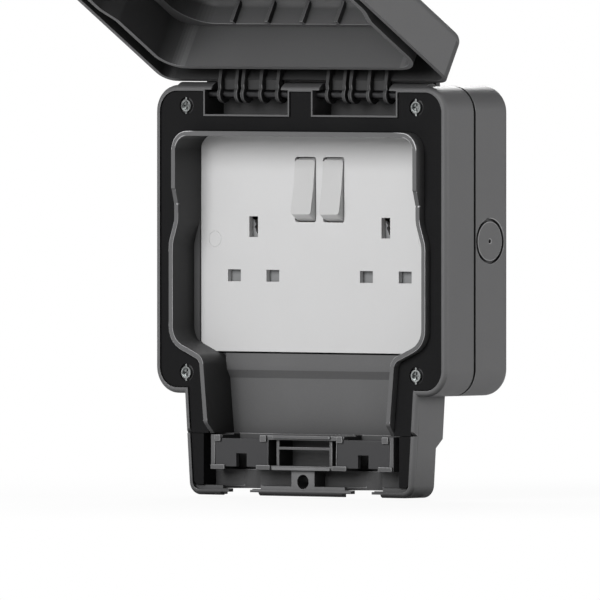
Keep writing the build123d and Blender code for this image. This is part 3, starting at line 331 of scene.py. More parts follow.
class SocketStudio(PropertyGroup):
    """Camera and light."""

    azimuth: FloatProperty(
        name="Azimuth",
        description="Camera's turn to the right of the front",
        subtype="ANGLE",
        unit="ROTATION",
        default=math.radians(38.0),
    )
    elevation: FloatProperty(
        name="Elevation",
        description="Camera's height above the horizon",
        subtype="ANGLE",
        unit="ROTATION",
        default=math.radians(1.0),
    )
    distance: FloatProperty(
        name="Distance",
        description="From the camera to the point it looks at",
        subtype="DISTANCE",
        unit="LENGTH",
        default=12.0,
    )
    view_height: FloatProperty(
        name="View height",
        description="Height of the picture at that point",
        subtype="DISTANCE",
        unit="LENGTH",
        default=271.7 * MM,
    )
    aim: FloatVectorProperty(
        name="Aim",
        description="Point at the middle of the picture",
        subtype="XYZ",
        unit="LENGTH",
        size=3,
        default=(0.0, -48.0 * MM, -27.0 * MM),
    )
    sky: FloatProperty(
        name="Sky", description="Strength of the even light from all round", default=0.06, min=0.0, max=2.0
    )
    key: FloatProperty(name="Key", description="Power of the main soft lamp, in watts", default=23.4, min=0.0)
    side: FloatProperty(
        name="Side", description="Power of the lamp at the right, in watts", default=15.8, min=0.0
    )
    back: FloatProperty(
        name="Back", description="Power of the lamp behind and to the left, in watts", default=22.0, min=0.0
    )


class Tree:
    """A node tree under construction."""

    def __init__(self, tree):
        self.tree = tree

    def node(self, kind, **settings):
        """A new node with attributes set by name."""
        made = self.tree.nodes.new(kind)
        for name, value in settings.items():
            setattr(made, name, value)
        return made

    def feed(self, node, **inputs):
        """Sets or links inputs by name, with spaces written as underscores."""
        for name, value in inputs.items():
            self.put(node.inputs[name.replace("_", " ")], value)
        return node

    def put(self, socket, value):
        """Links an output to a socket, or sets the socket's own value."""
        if isinstance(value, bpy.types.NodeSocket):
            self.tree.links.new(value, socket)
        else:
            socket.default_value = value

    def math(self, operation, *values):
        """The output of a Math node."""
        node = self.node("ShaderNodeMath", operation=operation)
        for socket, value in zip(node.inputs, values):
            self.put(socket, value)
        return node.outputs[0]


def new_group(name, kind, inputs, outputs):
    """An empty node group with named sockets, as (tree, group input, group output)."""
    group = bpy.data.node_groups.new(name, kind)
    for label, socket_type, default in inputs:
        socket = group.interface.new_socket(label, in_out="INPUT", socket_type=socket_type)
        if default is not None:
            socket.default_value = default
    for label, socket_type in outputs:
        group.interface.new_socket(label, in_out="OUTPUT", socket_type=socket_type)
    tree = Tree(group)
    return tree, tree.node("NodeGroupInput"), tree.node("NodeGroupOutput")


def moulded_grain():
    """Shader group: fine spark-eroded grain with slow changes of tone and gloss over a moulding, with a
    painted highlight on rounded edges and painted shade on marked faces.
    """
    name = "moulded_grain"
    if name in bpy.data.node_groups:
        return bpy.data.node_groups[name]
    tree, entry, out = new_group(
        name,
        "ShaderNodeTree",
        (
            ("Colour", "NodeSocketColor", (0.5, 0.5, 0.5, 1.0)),
            ("Tone", "NodeSocketFloat", 0.05),
            ("Gloss Low", "NodeSocketFloat", 0.4),
            ("Gloss High", "NodeSocketFloat", 0.5),
            ("Grain Scale", "NodeSocketFloat", 2200.0),
            ("Highlight", "NodeSocketFloat", 0.0),
            ("Shade", "NodeSocketFloat", 0.0),
        ),
        (("Colour", "NodeSocketColor"), ("Roughness", "NodeSocketFloat"), ("Height", "NodeSocketFloat")),
    )
    coords = tree.node("ShaderNodeTexCoord").outputs["Object"]
    grain = tree.node("ShaderNodeTexNoise")
    tree.feed(grain, Vector=coords, Scale=entry.outputs["Grain Scale"], Detail=2.0, Roughness=0.6)
    cloud = tree.feed(tree.node("ShaderNodeTexNoise"), Vector=coords, Scale=38.0, Detail=3.0, Roughness=0.55)
    speck = tree.feed(tree.node("ShaderNodeTexNoise"), Vector=coords, Scale=900.0, Detail=1.0)
    swing = tree.math("SUBTRACT", tree.math("ADD", cloud.outputs["Fac"], speck.outputs["Fac"]), 1.0)
    # Painted highlight: rounded edges are made lighter, patchy with the cloud.
    painted_highlight = tree.node("ShaderNodeAttribute", attribute_name="painted_highlight").outputs["Fac"]
    patchy = tree.math("MULTIPLY", painted_highlight, cloud.outputs["Fac"])
    lit_edges = tree.math("MULTIPLY_ADD", patchy, entry.outputs["Highlight"], 1.0)
    # Painted shade: marked faces lose part of their colour.
    hidden = tree.node("ShaderNodeAttribute", attribute_name="sheltered").outputs["Fac"]
    kept = tree.math("SUBTRACT", 1.0, tree.math("MULTIPLY", hidden, entry.outputs["Shade"]))
    clouded = tree.math("MULTIPLY_ADD", swing, entry.outputs["Tone"], 1.0)
    gain = tree.math("MULTIPLY", tree.math("MULTIPLY", clouded, lit_edges), kept)
    tint = tree.node("ShaderNodeVectorMath", operation="SCALE")
    tree.put(tint.inputs[0], entry.outputs["Colour"])
    tree.put(tint.inputs["Scale"], gain)
    gloss = tree.node("ShaderNodeMapRange")
    tree.feed(gloss, Value=cloud.outputs["Fac"], From_Min=0.3, From_Max=0.7)
    tree.feed(gloss, To_Min=entry.outputs["Gloss Low"], To_Max=entry.outputs["Gloss High"])
    tree.put(out.inputs["Colour"], tint.outputs[0])
    tree.put(out.inputs["Roughness"], gloss.outputs[0])
    tree.put(out.inputs["Height"], grain.outputs["Fac"])
    return tree.tree


def drawn_metal():
    """Shader group: fine scratches and a slow change of gloss on drawn, stamped or plated metal."""
    name = "drawn_metal"
    if name in bpy.data.node_groups:
        return bpy.data.node_groups[name]
    tree, entry, out = new_group(
        name,
        "ShaderNodeTree",
        (
            ("Colour", "NodeSocketColor", (0.6, 0.6, 0.6, 1.0)),
            ("Gloss Low", "NodeSocketFloat", 0.2),
            ("Gloss High", "NodeSocketFloat", 0.4),
            ("Stretch", "NodeSocketVector", (300.0, 3000.0, 3000.0)),
        ),
        (("Colour", "NodeSocketColor"), ("Roughness", "NodeSocketFloat"), ("Height", "NodeSocketFloat")),
    )
    coords = tree.node("ShaderNodeTexCoord").outputs["Object"]
    stretched = tree.node("ShaderNodeVectorMath", operation="MULTIPLY")
    tree.put(stretched.inputs[0], coords)
    tree.put(stretched.inputs[1], entry.outputs["Stretch"])
    line = tree.feed(tree.node("ShaderNodeTexNoise"), Vector=stretched.outputs[0], Scale=1.0, Detail=2.0)
    bloom = tree.feed(tree.node("ShaderNodeTexNoise"), Vector=coords, Scale=400.0, Detail=2.0)
    gloss = tree.node("ShaderNodeMapRange")
    tree.feed(gloss, Value=bloom.outputs["Fac"], From_Min=0.3, From_Max=0.7)
    tree.feed(gloss, To_Min=entry.outputs["Gloss Low"], To_Max=entry.outputs["Gloss High"])
    gain = tree.math("MULTIPLY_ADD", bloom.outputs["Fac"], 0.16, 0.92)
    tint = tree.node("ShaderNodeVectorMath", operation="SCALE")
    tree.put(tint.inputs[0], entry.outputs["Colour"])
    tree.put(tint.inputs["Scale"], gain)
    tree.put(out.inputs["Colour"], tint.outputs[0])
    tree.put(out.inputs["Roughness"], gloss.outputs[0])
    tree.put(out.inputs["Height"], line.outputs["Fac"])
    return tree.tree


def grouped_material(name, group, values, bump, crevice=(1.0, 0.0), **shader):
    """A material whose colour, gloss and bump come from a shared group; shader sets plain sockets.

    crevice is the share of the colour left deep in corners as painted shade, from ambient occlusion, and how
    far that shade reaches.
    """
    if name in bpy.data.materials:
        return bpy.data.materials[name]
    material = bpy.data.materials.new(name)
    material.use_nodes = True
    tree = Tree(material.node_tree)
    principled = material.node_tree.nodes["Principled BSDF"]
    surface = tree.node("ShaderNodeGroup", node_tree=group)
    tree.feed(surface, **values)
    relief = tree.node("ShaderNodeBump")
    tree.feed(relief, Strength=bump[0], Distance=bump[1], Height=surface.outputs["Height"])
    colour = surface.outputs["Colour"]
    if crevice[0] < 1.0:
        # Painted shade: the colour is darkened by ambient occlusion.
        occlusion = tree.node("ShaderNodeAmbientOcclusion", samples=8)
        tree.feed(occlusion, Distance=crevice[1])
        left = tree.node("ShaderNodeMapRange")
        tree.feed(left, Value=occlusion.outputs["AO"], From_Min=0.2, From_Max=0.85, To_Min=crevice[0], To_Max=1.0)
        shaded = tree.node("ShaderNodeVectorMath", operation="SCALE")
        tree.put(shaded.inputs[0], colour)
        tree.put(shaded.inputs["Scale"], left.outputs[0])
        colour = shaded.outputs[0]
    tree.put(principled.inputs["Base Color"], colour)
    tree.put(principled.inputs["Roughness"], surface.outputs["Roughness"])
    tree.put(principled.inputs["Normal"], relief.outputs["Normal"])
    for label, value in shader.items():
        principled.inputs[label.replace("_", " ")].default_value = value
    return material


def plastic(name, colour, gloss, tone=0.05, bump=0.25, grain=1.0, specular=0.5, highlight=0.0, **deep):
    """A moulded plastic: colour, gloss range, tone change, depth and width of its grain, painted highlight on
    rounded corners.

    deep may give shelter, the share of colour taken off marked faces as painted shade, and crevice, the
    painted shade in corners.
    """
    finishes = bpy.context.scene.socket_finishes
    values = {
        "Colour": (*colour, 1.0),
        "Tone": tone,
        "Gloss_Low": gloss[0],
        "Gloss_High": gloss[1],
        "Grain_Scale": grain / finishes.grain,
        "Highlight": highlight,
        "Shade": deep.get("shelter", 0.0),
    }
    crevice = deep.get("crevice", (1.0, 0.0))
    relief = (bump, 0.02 * MM)
    return grouped_material(name, moulded_grain(), values, relief, crevice, Specular_IOR_Level=specular)


def metal(name, colour, gloss, stretch, bump=0.15, crevice=(1.0, 0.0)):
    """A bare or plated metal: colour, gloss range, direction of its fine lines and painted shade in its
    corners.
    """
    values = {"Colour": (*colour, 1.0), "Gloss_Low": gloss[0], "Gloss_High": gloss[1], "Stretch": stretch}
    return grouped_material(name, drawn_metal(), values, (bump, 0.01 * MM), crevice, Metallic=1.0)


def dress(node, material):
    """Gives a CAD node its material."""
    slots = NODES[node].data.materials
    slots.clear()
    slots.append(material)


def add_piece(name, mesh, material):
    """A new object for a finished mesh, with its material."""
    mesh.materials.clear()
    mesh.materials.append(material)
    piece = bpy.data.objects.new(name, mesh)
    bpy.context.scene.collection.objects.link(piece)
    return piece


def soften(piece, angle):
    """Smooth shading that keeps flat faces flat and hard corners hard."""
    mesh = piece.data
    mesh.polygons.foreach_set("use_smooth", [True] * len(mesh.polygons))
    mesh.set_sharp_from_angle(angle=math.radians(angle))
    weighted = piece.modifiers.new("flat_faces", "WEIGHTED_NORMAL")
    weighted.keep_sharp = True
    weighted.weight = 100


def is_corner(edge):
    """True for an edge where two faces meet at an outer angle that a mould would round."""
    return edge.is_manifold and edge.is_convex and edge.calc_face_angle() > CORNER_ANGLE


def gap_ahead(edge, loop, other):
    """Distance from an edge to another one that lies ahead of it, across the face of the loop."""
    inward = loop.face.normal.cross(loop.link_loop_next.vert.co - loop.vert.co).normalized()
    best = math.inf
    ends = [vertex.co for vertex in edge.verts]
    far = [vertex.co for vertex in other.verts]
    pairs = [(start, far) for start in (*ends, (ends[0] + ends[1]) / 2)] + [(point, ends) for point in far]
    for index, (point, line) in enumerate(pairs):
        near, share = intersect_point_line(point, *line)
        near = line[0].lerp(line[1], min(max(share, 0.0), 1.0))
        step = near - point if index < 3 else point - near
        if step.length < best and step.dot(inward) > 0.35 * step.length:
            best = step.length
    return best


def room_at(edge, corners):
    """The largest radius that an edge can take before its rounding runs into a neighbour's."""
    room = math.inf
    for loop in edge.link_loops:
        for other in loop.face.edges:
            shared = set(edge.verts) & set(other.verts)
            if other is edge:
                continue
            if shared:
                if other not in corners:
                    room = min(room, 0.8 * other.calc_length())
                continue
            share = 0.42 if other in corners else 0.85
            room = min(room, share * gap_ahead(edge, loop, other))
    return room


def folded(mesh):
    """Corners of faces whose outline crosses itself."""
    spots = []
    for face in mesh.polygons:
        if len(face.vertices) < 5:
            continue
        outline = [mesh.vertices[index].co for index in face.vertices]
        triangles = tessellate_polygon([outline])
        area = sum(area_tri(*[outline[index] for index in triangle]) for triangle in triangles)
        if abs(area - face.area) > 0.02 * MM * MM:
            spots.extend(point.copy() for point in outline)
    return spots


def rounded_mesh(name, shape, radii):
    """Rounds edges by their own radii with a Bevel modifier; faces it makes have material index 1."""
    widest = max(radii.values())
    weight = shape.edges.layers.float["bevel_weight_edge"]
    for edge, radius in radii.items():
        edge[weight] = radius / widest if radius > SMALLEST_RADIUS else 0.0
    mesh = bpy.data.meshes.new(name)
    shape.to_mesh(mesh)
    if "custom_normal" in mesh.attributes:
        mesh.attributes.remove(mesh.attributes["custom_normal"])
    mesh.materials.clear()
    for _ in range(2):
        mesh.materials.append(None)
    holder = bpy.data.objects.new(name, mesh)
    bpy.context.scene.collection.objects.link(holder)
    bevel = holder.modifiers.new("corners", "BEVEL")
    bevel.limit_method = "WEIGHT"
    bevel.offset_type = "OFFSET"
    bevel.width = widest
    bevel.segments = 3
    bevel.material = 1
    bevel.use_clamp_overlap = False
    bevel.loop_slide = False
    result = bpy.data.meshes.new_from_object(holder.evaluated_get(bpy.context.evaluated_depsgraph_get()))
    bpy.data.objects.remove(holder)
    bpy.data.meshes.remove(mesh)
    result.name = name
    return result


def moulded_copy(node, name, material, radius, rim=None):
    """A copy of a CAD node with rounded outer corners, which stands for the node on its own body.

    rim is (radius, front) for corners in front of a plane Y = front that are rounded more than the rest.
    Rounded faces carry a painted highlight in the attribute worn, in full on the rim and by EDGE_HIGHLIGHT
    elsewhere.
    """
    shape = bmesh.new()
    shape.from_mesh(NODES[node].data)
    shape.edges.layers.float.new("bevel_weight_edge")
    bmesh.ops.remove_doubles(shape, verts=shape.verts, dist=0.001 * MM)
    bmesh.ops.dissolve_limit(shape, angle_limit=math.radians(0.5), verts=shape.verts, edges=shape.edges)
    corners = {edge for edge in shape.edges if is_corner(edge)}
    radii = {}
    for edge in corners:
        wanted = radius
        if rim and max(vertex.co.y for vertex in edge.verts) < rim[1]:
            wanted = rim[0]
        radii[edge] = min(wanted, room_at(edge, corners))
    mesh = rounded_mesh(name, shape, radii)
    for _ in range(4):
        spots = folded(mesh)
        if not spots:
            break
        for edge in corners:
            middle = (edge.verts[0].co + edge.verts[1].co) / 2
            reach = edge.calc_length() / 2 + 2 * radius
            if any((point - middle).length < reach for point in spots):
                radii[edge] *= 0.4
        mesh = rounded_mesh(name, shape, radii)
    shape.free()
    # Painted highlight on the rounded faces, strongest on the rim.
    painted_highlight = mesh.attributes.new("painted_highlight", "FLOAT", "FACE")
    front = rim[1] if rim else -math.inf
    values = [face.material_index * (1.0 if face.center.y < front else EDGE_HIGHLIGHT) for face in mesh.polygons]
    painted_highlight.data.foreach_set("value", values)
    mesh.polygons.foreach_set("material_index", [0] * len(mesh.polygons))
    piece = add_piece(name, mesh, material)
    soften(piece, SMOOTH_ANGLE)
    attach(piece, NODES[node]["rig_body"])
    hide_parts(node)
    return piece


def screw_tree():
    """Geometry Nodes: a cross-head screw with a dished head and two ears on every point, facing -Y."""
    name = "dished_screws"
    if name in bpy.data.node_groups:
        return bpy.data.node_groups[name]
    tree, entry, out = new_group(
        name,
        "GeometryNodeTree",
        (
            ("Geometry", "NodeSocketGeometry", None),
            ("Head Radius", "NodeSocketFloat", 2.7 * MM),
            ("Head Height", "NodeSocketFloat", 1.7 * MM),
            ("Dish Radius", "NodeSocketFloat", 2.1 * MM),
            ("Dish Depth", "NodeSocketFloat", 1.0 * MM),
            ("Slot Width", "NodeSocketFloat", 0.8 * MM),
            ("Ear Length", "NodeSocketFloat", 1.2 * MM),
            ("Ear Lift", "NodeSocketFloat", 1.2 * MM),
            ("Shank Radius", "NodeSocketFloat", 1.9 * MM),
            ("Shank Length", "NodeSocketFloat", 34.0 * MM),
            ("Material", "NodeSocketMaterial", None),
        ),
        (("Geometry", "NodeSocketGeometry"),),
    )
    get = entry.outputs

    def lifted(geometry, height, across=0.0):
        """A geometry moved up its axis, and across it along Y."""
        place = tree.feed(tree.node("ShaderNodeCombineXYZ"), Y=across, Z=height)
        moved = tree.node("GeometryNodeTransform")
        return tree.feed(moved, Geometry=geometry, Translation=place.outputs[0]).outputs[0]

    def drum(radius, depth):
        """A cylinder about the screw's axis."""
        made = tree.node("GeometryNodeMeshCylinder", fill_type="NGON")
        return tree.feed(made, Vertices=40, Radius=radius, Depth=depth).outputs["Mesh"]

    def block(x, y, z):
        """A box about the screw's axis."""
        size = tree.feed(tree.node("ShaderNodeCombineXYZ"), X=x, Y=y, Z=z)
        return tree.feed(tree.node("GeometryNodeMeshCube"), Size=size.outputs[0]).outputs["Mesh"]

    def joined(*pieces):
        """Several geometries as one."""
        join = tree.node("GeometryNodeJoinGeometry")
        for piece in pieces:
            tree.tree.links.new(piece, join.inputs[0])
        return join.outputs[0]

    middle = tree.math("MULTIPLY", get["Head Height"], 0.5)
    head = lifted(drum(get["Head Radius"], get["Head Height"]), middle)
    double = tree.math("MULTIPLY", get["Dish Depth"], 2.0)
    dish = lifted(drum(get["Dish Radius"], double), get["Head Height"])
    reach = tree.math("MULTIPLY", get["Dish Radius"], 1.7)
    deep = tree.math("MULTIPLY", get["Head Height"], 1.8)
    upright = lifted(block(get["Slot Width"], reach, deep), get["Head Height"])
    level = lifted(block(reach, get["Slot Width"], deep), get["Head Height"])
    cut = tree.node("GeometryNodeMeshBoolean", operation="DIFFERENCE", solver="EXACT")
    cut.inputs["Self Intersection"].default_value = True
    tree.put(cut.inputs["Mesh 1"], head)
    tree.put(cut.inputs["Mesh 2"], joined(dish, upright, level))
    ears = []
    for side in (-1.0, 1.0):
        ear = block(get["Slot Width"], get["Ear Length"], tree.math("MULTIPLY", get["Ear Lift"], 0.4))
        half = tree.math("MULTIPLY", get["Ear Length"], 0.42)
        across = tree.math("MULTIPLY", tree.math("ADD", get["Head Radius"], half), side)
        ears.append(lifted(ear, get["Ear Lift"], across))
    below = tree.math("MULTIPLY", get["Shank Length"], -0.5)
    shank = lifted(drum(get["Shank Radius"], get["Shank Length"]), below)
    turned = tree.node("GeometryNodeTransform")
    whole = joined(cut.outputs["Mesh"], *ears, shank)
    tree.feed(turned, Geometry=whole, Rotation=(math.radians(90), 0.0, 0.0))
    spread = tree.node("GeometryNodeInstanceOnPoints")
    tree.feed(spread, Points=get["Geometry"], Instance=turned.outputs[0])
    finish(tree, spread.outputs[0], get["Material"], out)
    return tree.tree


def spring_tree():
    """Geometry Nodes: a coil spring of round wire standing on its foot."""
    name = "coil_spring"
    if name in bpy.data.node_groups:
        return bpy.data.node_groups[name]
    tree, entry, out = new_group(
        name,
        "GeometryNodeTree",
        (
            ("Geometry", "NodeSocketGeometry", None),
            ("Radius", "NodeSocketFloat", 1.2 * MM),
            ("Wire", "NodeSocketFloat", 0.2 * MM),
            ("Turns", "NodeSocketFloat", 6.0),
            ("Height", "NodeSocketFloat", 8.0 * MM),
            ("Material", "NodeSocketMaterial", None),
        ),
        (("Geometry", "NodeSocketGeometry"),),
    )
    get = entry.outputs
    coil = tree.node("GeometryNodeCurveSpiral")
    tree.feed(coil, Resolution=24, Rotations=get["Turns"], Start_Radius=get["Radius"])
    tree.feed(coil, End_Radius=get["Radius"], Height=get["Height"])
    section = tree.node("GeometryNodeCurvePrimitiveCircle")
    tree.feed(section, Resolution=10, Radius=get["Wire"])
    tube = tree.node("GeometryNodeCurveToMesh")
    tree.feed(tube, Curve=coil.outputs[0], Profile_Curve=section.outputs[0], Fill_Caps=True)
    stand = tree.node("GeometryNodeInstanceOnPoints")
    tree.feed(stand, Points=get["Geometry"], Instance=tube.outputs[0])
    finish(tree, stand.outputs[0], get["Material"], out)
    return tree.tree


def finish(tree, geometry, material, out):
    """Ends a Geometry Nodes tree: real mesh, then its material."""
    real = tree.node("GeometryNodeRealizeInstances")
    tree.put(real.inputs[0], geometry)
    painted = tree.node("GeometryNodeSetMaterial")
    tree.feed(painted, Geometry=real.outputs[0], Material=material)
    tree.put(out.inputs[0], painted.outputs[0])


def grown(name, group, points, material, **values):
    """Runs a Geometry Nodes tree on a set of points and keeps the result as a plain mesh."""
    seeds = bpy.data.meshes.new(name + "_points")
    seeds.from_pydata([tuple(point) for point in points], [], [])
    holder = bpy.data.objects.new(name + "_points", seeds)
    bpy.context.scene.collection.objects.link(holder)
    modifier = holder.modifiers.new("grow", "NODES")
    modifier.node_group = group
    named = {item.name: item.identifier for item in group.interface.items_tree if item.in_out == "INPUT"}
    modifier[named["Material"]] = material
    for label, value in values.items():
        modifier[named[label.replace("_", " ")]] = value
    depsgraph = bpy.context.evaluated_depsgraph_get()
    mesh = bpy.data.meshes.new_from_object(holder.evaluated_get(depsgraph))
    mesh.name = name
    holder.modifiers.remove(modifier)
    bpy.data.objects.remove(holder)
    bpy.data.meshes.remove(seeds)
    return add_piece(name, mesh, material)


def corner_points(low, high, reach, depth):
    """Four points set in from the corners of a node's box."""
    levels = (low.z + reach, high.z - reach)
    return [Vector((x, depth, z)) for x in (low.x + reach, high.x - reach) for z in levels]


class SOCKET_OT_housing(Operator):
    """Box, frame and lid in fine-grained grey plastic with rounded edges"""

    bl_idname = "socket.housing"
    bl_label = "Housing"

    def execute(self, context):
        finishes = context.scene.socket_finishes
        grey = plastic(
            "housing_plastic",
            finishes.housing,
            (0.4, 0.52),
            tone=0.06,
            bump=0.3,
            specular=0.22,
            # Painted highlight on the rounded edges.
            highlight=8.0,
            # Painted shade on marked faces.
            shelter=0.6,
            # Painted shade in corners.
            crevice=HOUSING_CORNER_SHADE,
        )
        moulded_copy("back_box", "back_box_moulding", grey, finishes.edge)
        cover = moulded_copy("lid", "lid_moulding", grey, finishes.edge)
        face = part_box("face_gasket")[0].y - RIM_LEAD
        frame = moulded_copy(
            "front_frame", "front_frame_moulding", grey, finishes.edge, (finishes.rim, face)
        )
        low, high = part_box("hinge_pin_left")
        # Painted shade on the lid and webs round the hinge, and on the frame's inner walls and undersides.
        mark_shelter(cover.data, (low + high) / 2)
        mark_shelter(frame.data)
        webs = add_piece("hinge_webs", web_mesh(), grey)
        mark_shelter(webs.data, (low + high) / 2)
        soften(webs, SMOOTH_ANGLE)
        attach(webs, NODES["lid"]["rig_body"])
        # Painted light on the lug's front.
        light_lug_front(frame.data)
        return {"FINISHED"}


def web_mesh():
    """A thin web between the outer arms of each hinge, from just over its pin up into the lid's edge."""
    shape = bmesh.new()
    for side in ("left", "right"):
        low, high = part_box(f"hinge_pin_{side}")
        axis = (low + high) / 2
        knuckles = []
        for vertex in NODES["lid"].data.vertices:
            away = math.hypot(vertex.co.y - axis.y, vertex.co.z - axis.z)
            if low.x < vertex.co.x < high.x and away < 3.2 * MM:
                knuckles.append(vertex.co.x)
        if not knuckles:
            raise RuntimeError(f"the lid has no arms on the {side} hinge pin")
        foot = high.z + 0.12 * MM
        top = axis.z + 6.6 * MM
        centre = Vector(((min(knuckles) + max(knuckles)) / 2, axis.y, (foot + top) / 2))
        size = Matrix.Diagonal((max(knuckles) - min(knuckles), 1.2 * MM, top - foot, 1.0))
        bmesh.ops.create_cube(shape, size=1.0, matrix=Matrix.Translation(centre) @ size)
    mesh = bpy.data.meshes.new("hinge_webs")
    shape.to_mesh(mesh)
    shape.free()
    return mesh


def mark_shelter(mesh, hinge=None):
    """Marks faces to be darkened as painted shade: inner side walls, round a hinge or facing down."""
    values = []
    for face in mesh.polygons:
        inward = -math.copysign(face.normal.x, face.normal.x * face.center.x)
        value = (inward - 0.2) / 0.5
        if hinge:
            away = math.hypot(face.center.y - hinge.y, face.center.z - hinge.z)
            value = max(value, 0.85 * (22.0 * MM - away) / (8.0 * MM))
        else:
            value = max(value, -1.2 * face.normal.z if face.normal.y < -0.3 else 0.0)
        values.append(min(max(value, 0.0), 1.0))
    mesh.attributes.new("sheltered", "FLOAT", "FACE").data.foreach_set("value", values)


def light_lug_front(mesh):
    """Lightens the front of the padlock lug at the middle of the foot with painted light."""
    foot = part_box("front_frame")[0].z
    painted_highlight = mesh.attributes["painted_highlight"].data
    for face in mesh.polygons:
        front = face.normal.y < -0.5 and foot + 2.0 * MM < face.center.z < foot + 13.0 * MM
        if front and abs(face.center.x) < 8.0 * MM:
            painted_highlight[face.index].value = max(painted_highlight[face.index].value, LUG_HIGHLIGHT)


def tail_mesh(finishes):
    """Two strips of the mat's rubber in the channels beside the gates, from the mat to the foot."""
    front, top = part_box("face_gasket")[0].yz
    inner = -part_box("cable_gate_left")[0].x + finishes.tail_inset
    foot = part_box("front_frame")[0].z + finishes.tail_foot
    play = 0.1 * MM
    outline = [
        (inner, top - play),
        (finishes.tail_top - play, top - play),
        (finishes.tail_bottom - play, foot + 1.5 * MM),
        (finishes.tail_bottom - 1.5 * MM, foot),
        (inner, foot),
    ]
    shape = bmesh.new()
    for side in (-1.0, 1.0):
        ring = [shape.verts.new((side * x, front + finishes.tail_depth, z)) for x, z in outline]
        base = shape.faces.new(ring)
        for item in bmesh.ops.extrude_face_region(shape, geom=[base])["geom"]:
            if isinstance(item, bmesh.types.BMVert):
                item.co.y = front
    bmesh.ops.recalc_face_normals(shape, faces=shape.faces)
    edges = shape.edges[:]
    bmesh.ops.bevel(
        shape, geom=edges, offset=0.3 * MM, offset_type="OFFSET", segments=2, profile=0.5, affect="EDGES"
    )
    mesh = bpy.data.meshes.new("mat_tails")
    shape.to_mesh(mesh)
    shape.free()
    return mesh


class SOCKET_OT_seals(Operator):
    """Black mat on the frame and the seal in the seam"""

    bl_idname = "socket.seals"
    bl_label = "Seals"

    def execute(self, context):
        finishes = context.scene.socket_finishes
        rubber = plastic(
            "seal_rubber", finishes.seal, (0.62, 0.8), tone=0.2, bump=0.5, grain=0.6, specular=0.1
        )
        moulded_copy("face_gasket", "face_mat", rubber, 0.25 * MM)
        moulded_copy("rear_gasket", "seam_seal", rubber, 0.25 * MM)
        tails = add_piece("mat_tails", tail_mesh(finishes), rubber)
        soften(tails, SMOOTH_ANGLE)
        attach(tails, "housing")
        return {"FINISHED"}


class SOCKET_OT_plate(Operator):
    """Socket plate, its screw caps and the shutters behind the pin slots"""

    bl_idname = "socket.plate"
    bl_label = "Plate"

    def execute(self, context):
        finishes = context.scene.socket_finishes
        pale = plastic("plate_plastic", finishes.plate, (0.34, 0.42), tone=0.02, bump=0.08)
        grey = plastic("shutter_plastic", finishes.shutter, (0.4, 0.5), tone=0.04, bump=0.15)
        moulded_copy("socket_plate", "outlet_plate", pale, 0.25 * MM)
        moulded_copy("screw_caps", "cover_caps", pale, 0.12 * MM)
        for side in ("left", "right"):
            moulded_copy(f"shutter_{side}", f"pin_shutter_{side}", grey, 0.2 * MM)
        return {"FINISHED"}


class SOCKET_OT_rockers(Operator):
    """The two switch rockers"""

    bl_idname = "socket.rockers"
    bl_label = "Rockers"

    def execute(self, context):
        finishes = context.scene.socket_finishes
        white = plastic("rocker_plastic", finishes.rocker, (0.26, 0.34), tone=0.015, bump=0.05)
        for side in ("left", "right"):
            moulded_copy(f"rocker_{side}", f"switch_rocker_{side}", white, 0.45 * MM)
        return {"FINISHED"}


class SOCKET_OT_gates(Operator):
    """Cable gates at the foot of the chute"""

    bl_idname = "socket.gates"
    bl_label = "Gates"

    def execute(self, context):
        finishes = context.scene.socket_finishes
        # The gates' rounded edges get a painted highlight.
        dark = plastic("gate_plastic", finishes.gate, (0.42, 0.52), bump=0.2, specular=0.25, highlight=1.5)
        for side in ("left", "right"):
            moulded_copy(f"cable_gate_{side}", f"lead_gate_{side}", dark, 0.3 * MM)
        return {"FINISHED"}


class SOCKET_OT_screws(Operator):
    """Frame screws grown on the corners of the face, and the finish of the hidden screws"""

    bl_idname = "socket.screws"
    bl_label = "Screws"

    def execute(self, context):
        sizes = context.scene.socket_screws
        finishes = context.scene.socket_finishes
        # Painted shade in the screws' corners.
        zinc = metal("zinc_plate", finishes.zinc, (0.22, 0.36), (900.0, 900.0, 900.0), crevice=ZINC_CORNER_SHADE)
        low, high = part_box("frame_screws")
        seat = low.y + sizes.head_height
        screws = grown(
            "corner_screws",
            screw_tree(),
            corner_points(low, high, 3.0 * MM, seat),
            zinc,
            Head_Radius=sizes.head_radius,
            Head_Height=sizes.head_height,
            Slot_Width=sizes.slot_width,
            Ear_Lift=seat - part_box("face_gasket")[0].y,
            Shank_Radius=sizes.shank_radius,
            Shank_Length=high.y - seat,
        )
        soften(screws, 40)
        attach(screws, "housing")
        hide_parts("frame_screws")
        dress("plate_screws", zinc)
        dress("terminal_screws", zinc)
        return {"FINISHED"}


class SOCKET_OT_hinge_pins(Operator):
    """Steel pins that the lid turns on"""

    bl_idname = "socket.hinge_pins"
    bl_label = "Hinge pins"

    def execute(self, context):
        finishes = context.scene.socket_finishes
        steel = metal("pin_metal", finishes.pin, (0.34, 0.46), (200.0, 4000.0, 4000.0))
        for side in ("left", "right"):
            dress(f"hinge_pin_{side}", steel)
        return {"FINISHED"}


class SOCKET_OT_springs(Operator):
    """Coil springs that push the shutters back over the slots"""

    bl_idname = "socket.springs"
    bl_label = "Springs"

    def execute(self, context):
        sizes = context.scene.socket_springs
        finishes = context.scene.socket_finishes
        steel = metal("spring_wire", finishes.steel, (0.25, 0.35), (2000.0, 2000.0, 2000.0))
        for side in ("left", "right"):
            low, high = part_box(f"shutter_spring_{side}")
            foot = Vector(((low.x + high.x) / 2, (low.y + high.y) / 2, low.z + sizes.wire))
            tall = high.z - low.z
            spring = grown(
                f"return_spring_{side}",
                spring_tree(),
                [foot],
                steel,
                Radius=sizes.radius,
                Wire=sizes.wire,
                Turns=sizes.turns,
                Height=tall - 2 * sizes.wire,
            )
            soften(spring, 60)
            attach(spring, "housing")
            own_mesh(spring)
            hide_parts(f"shutter_spring_{side}")
        return {"FINISHED"}


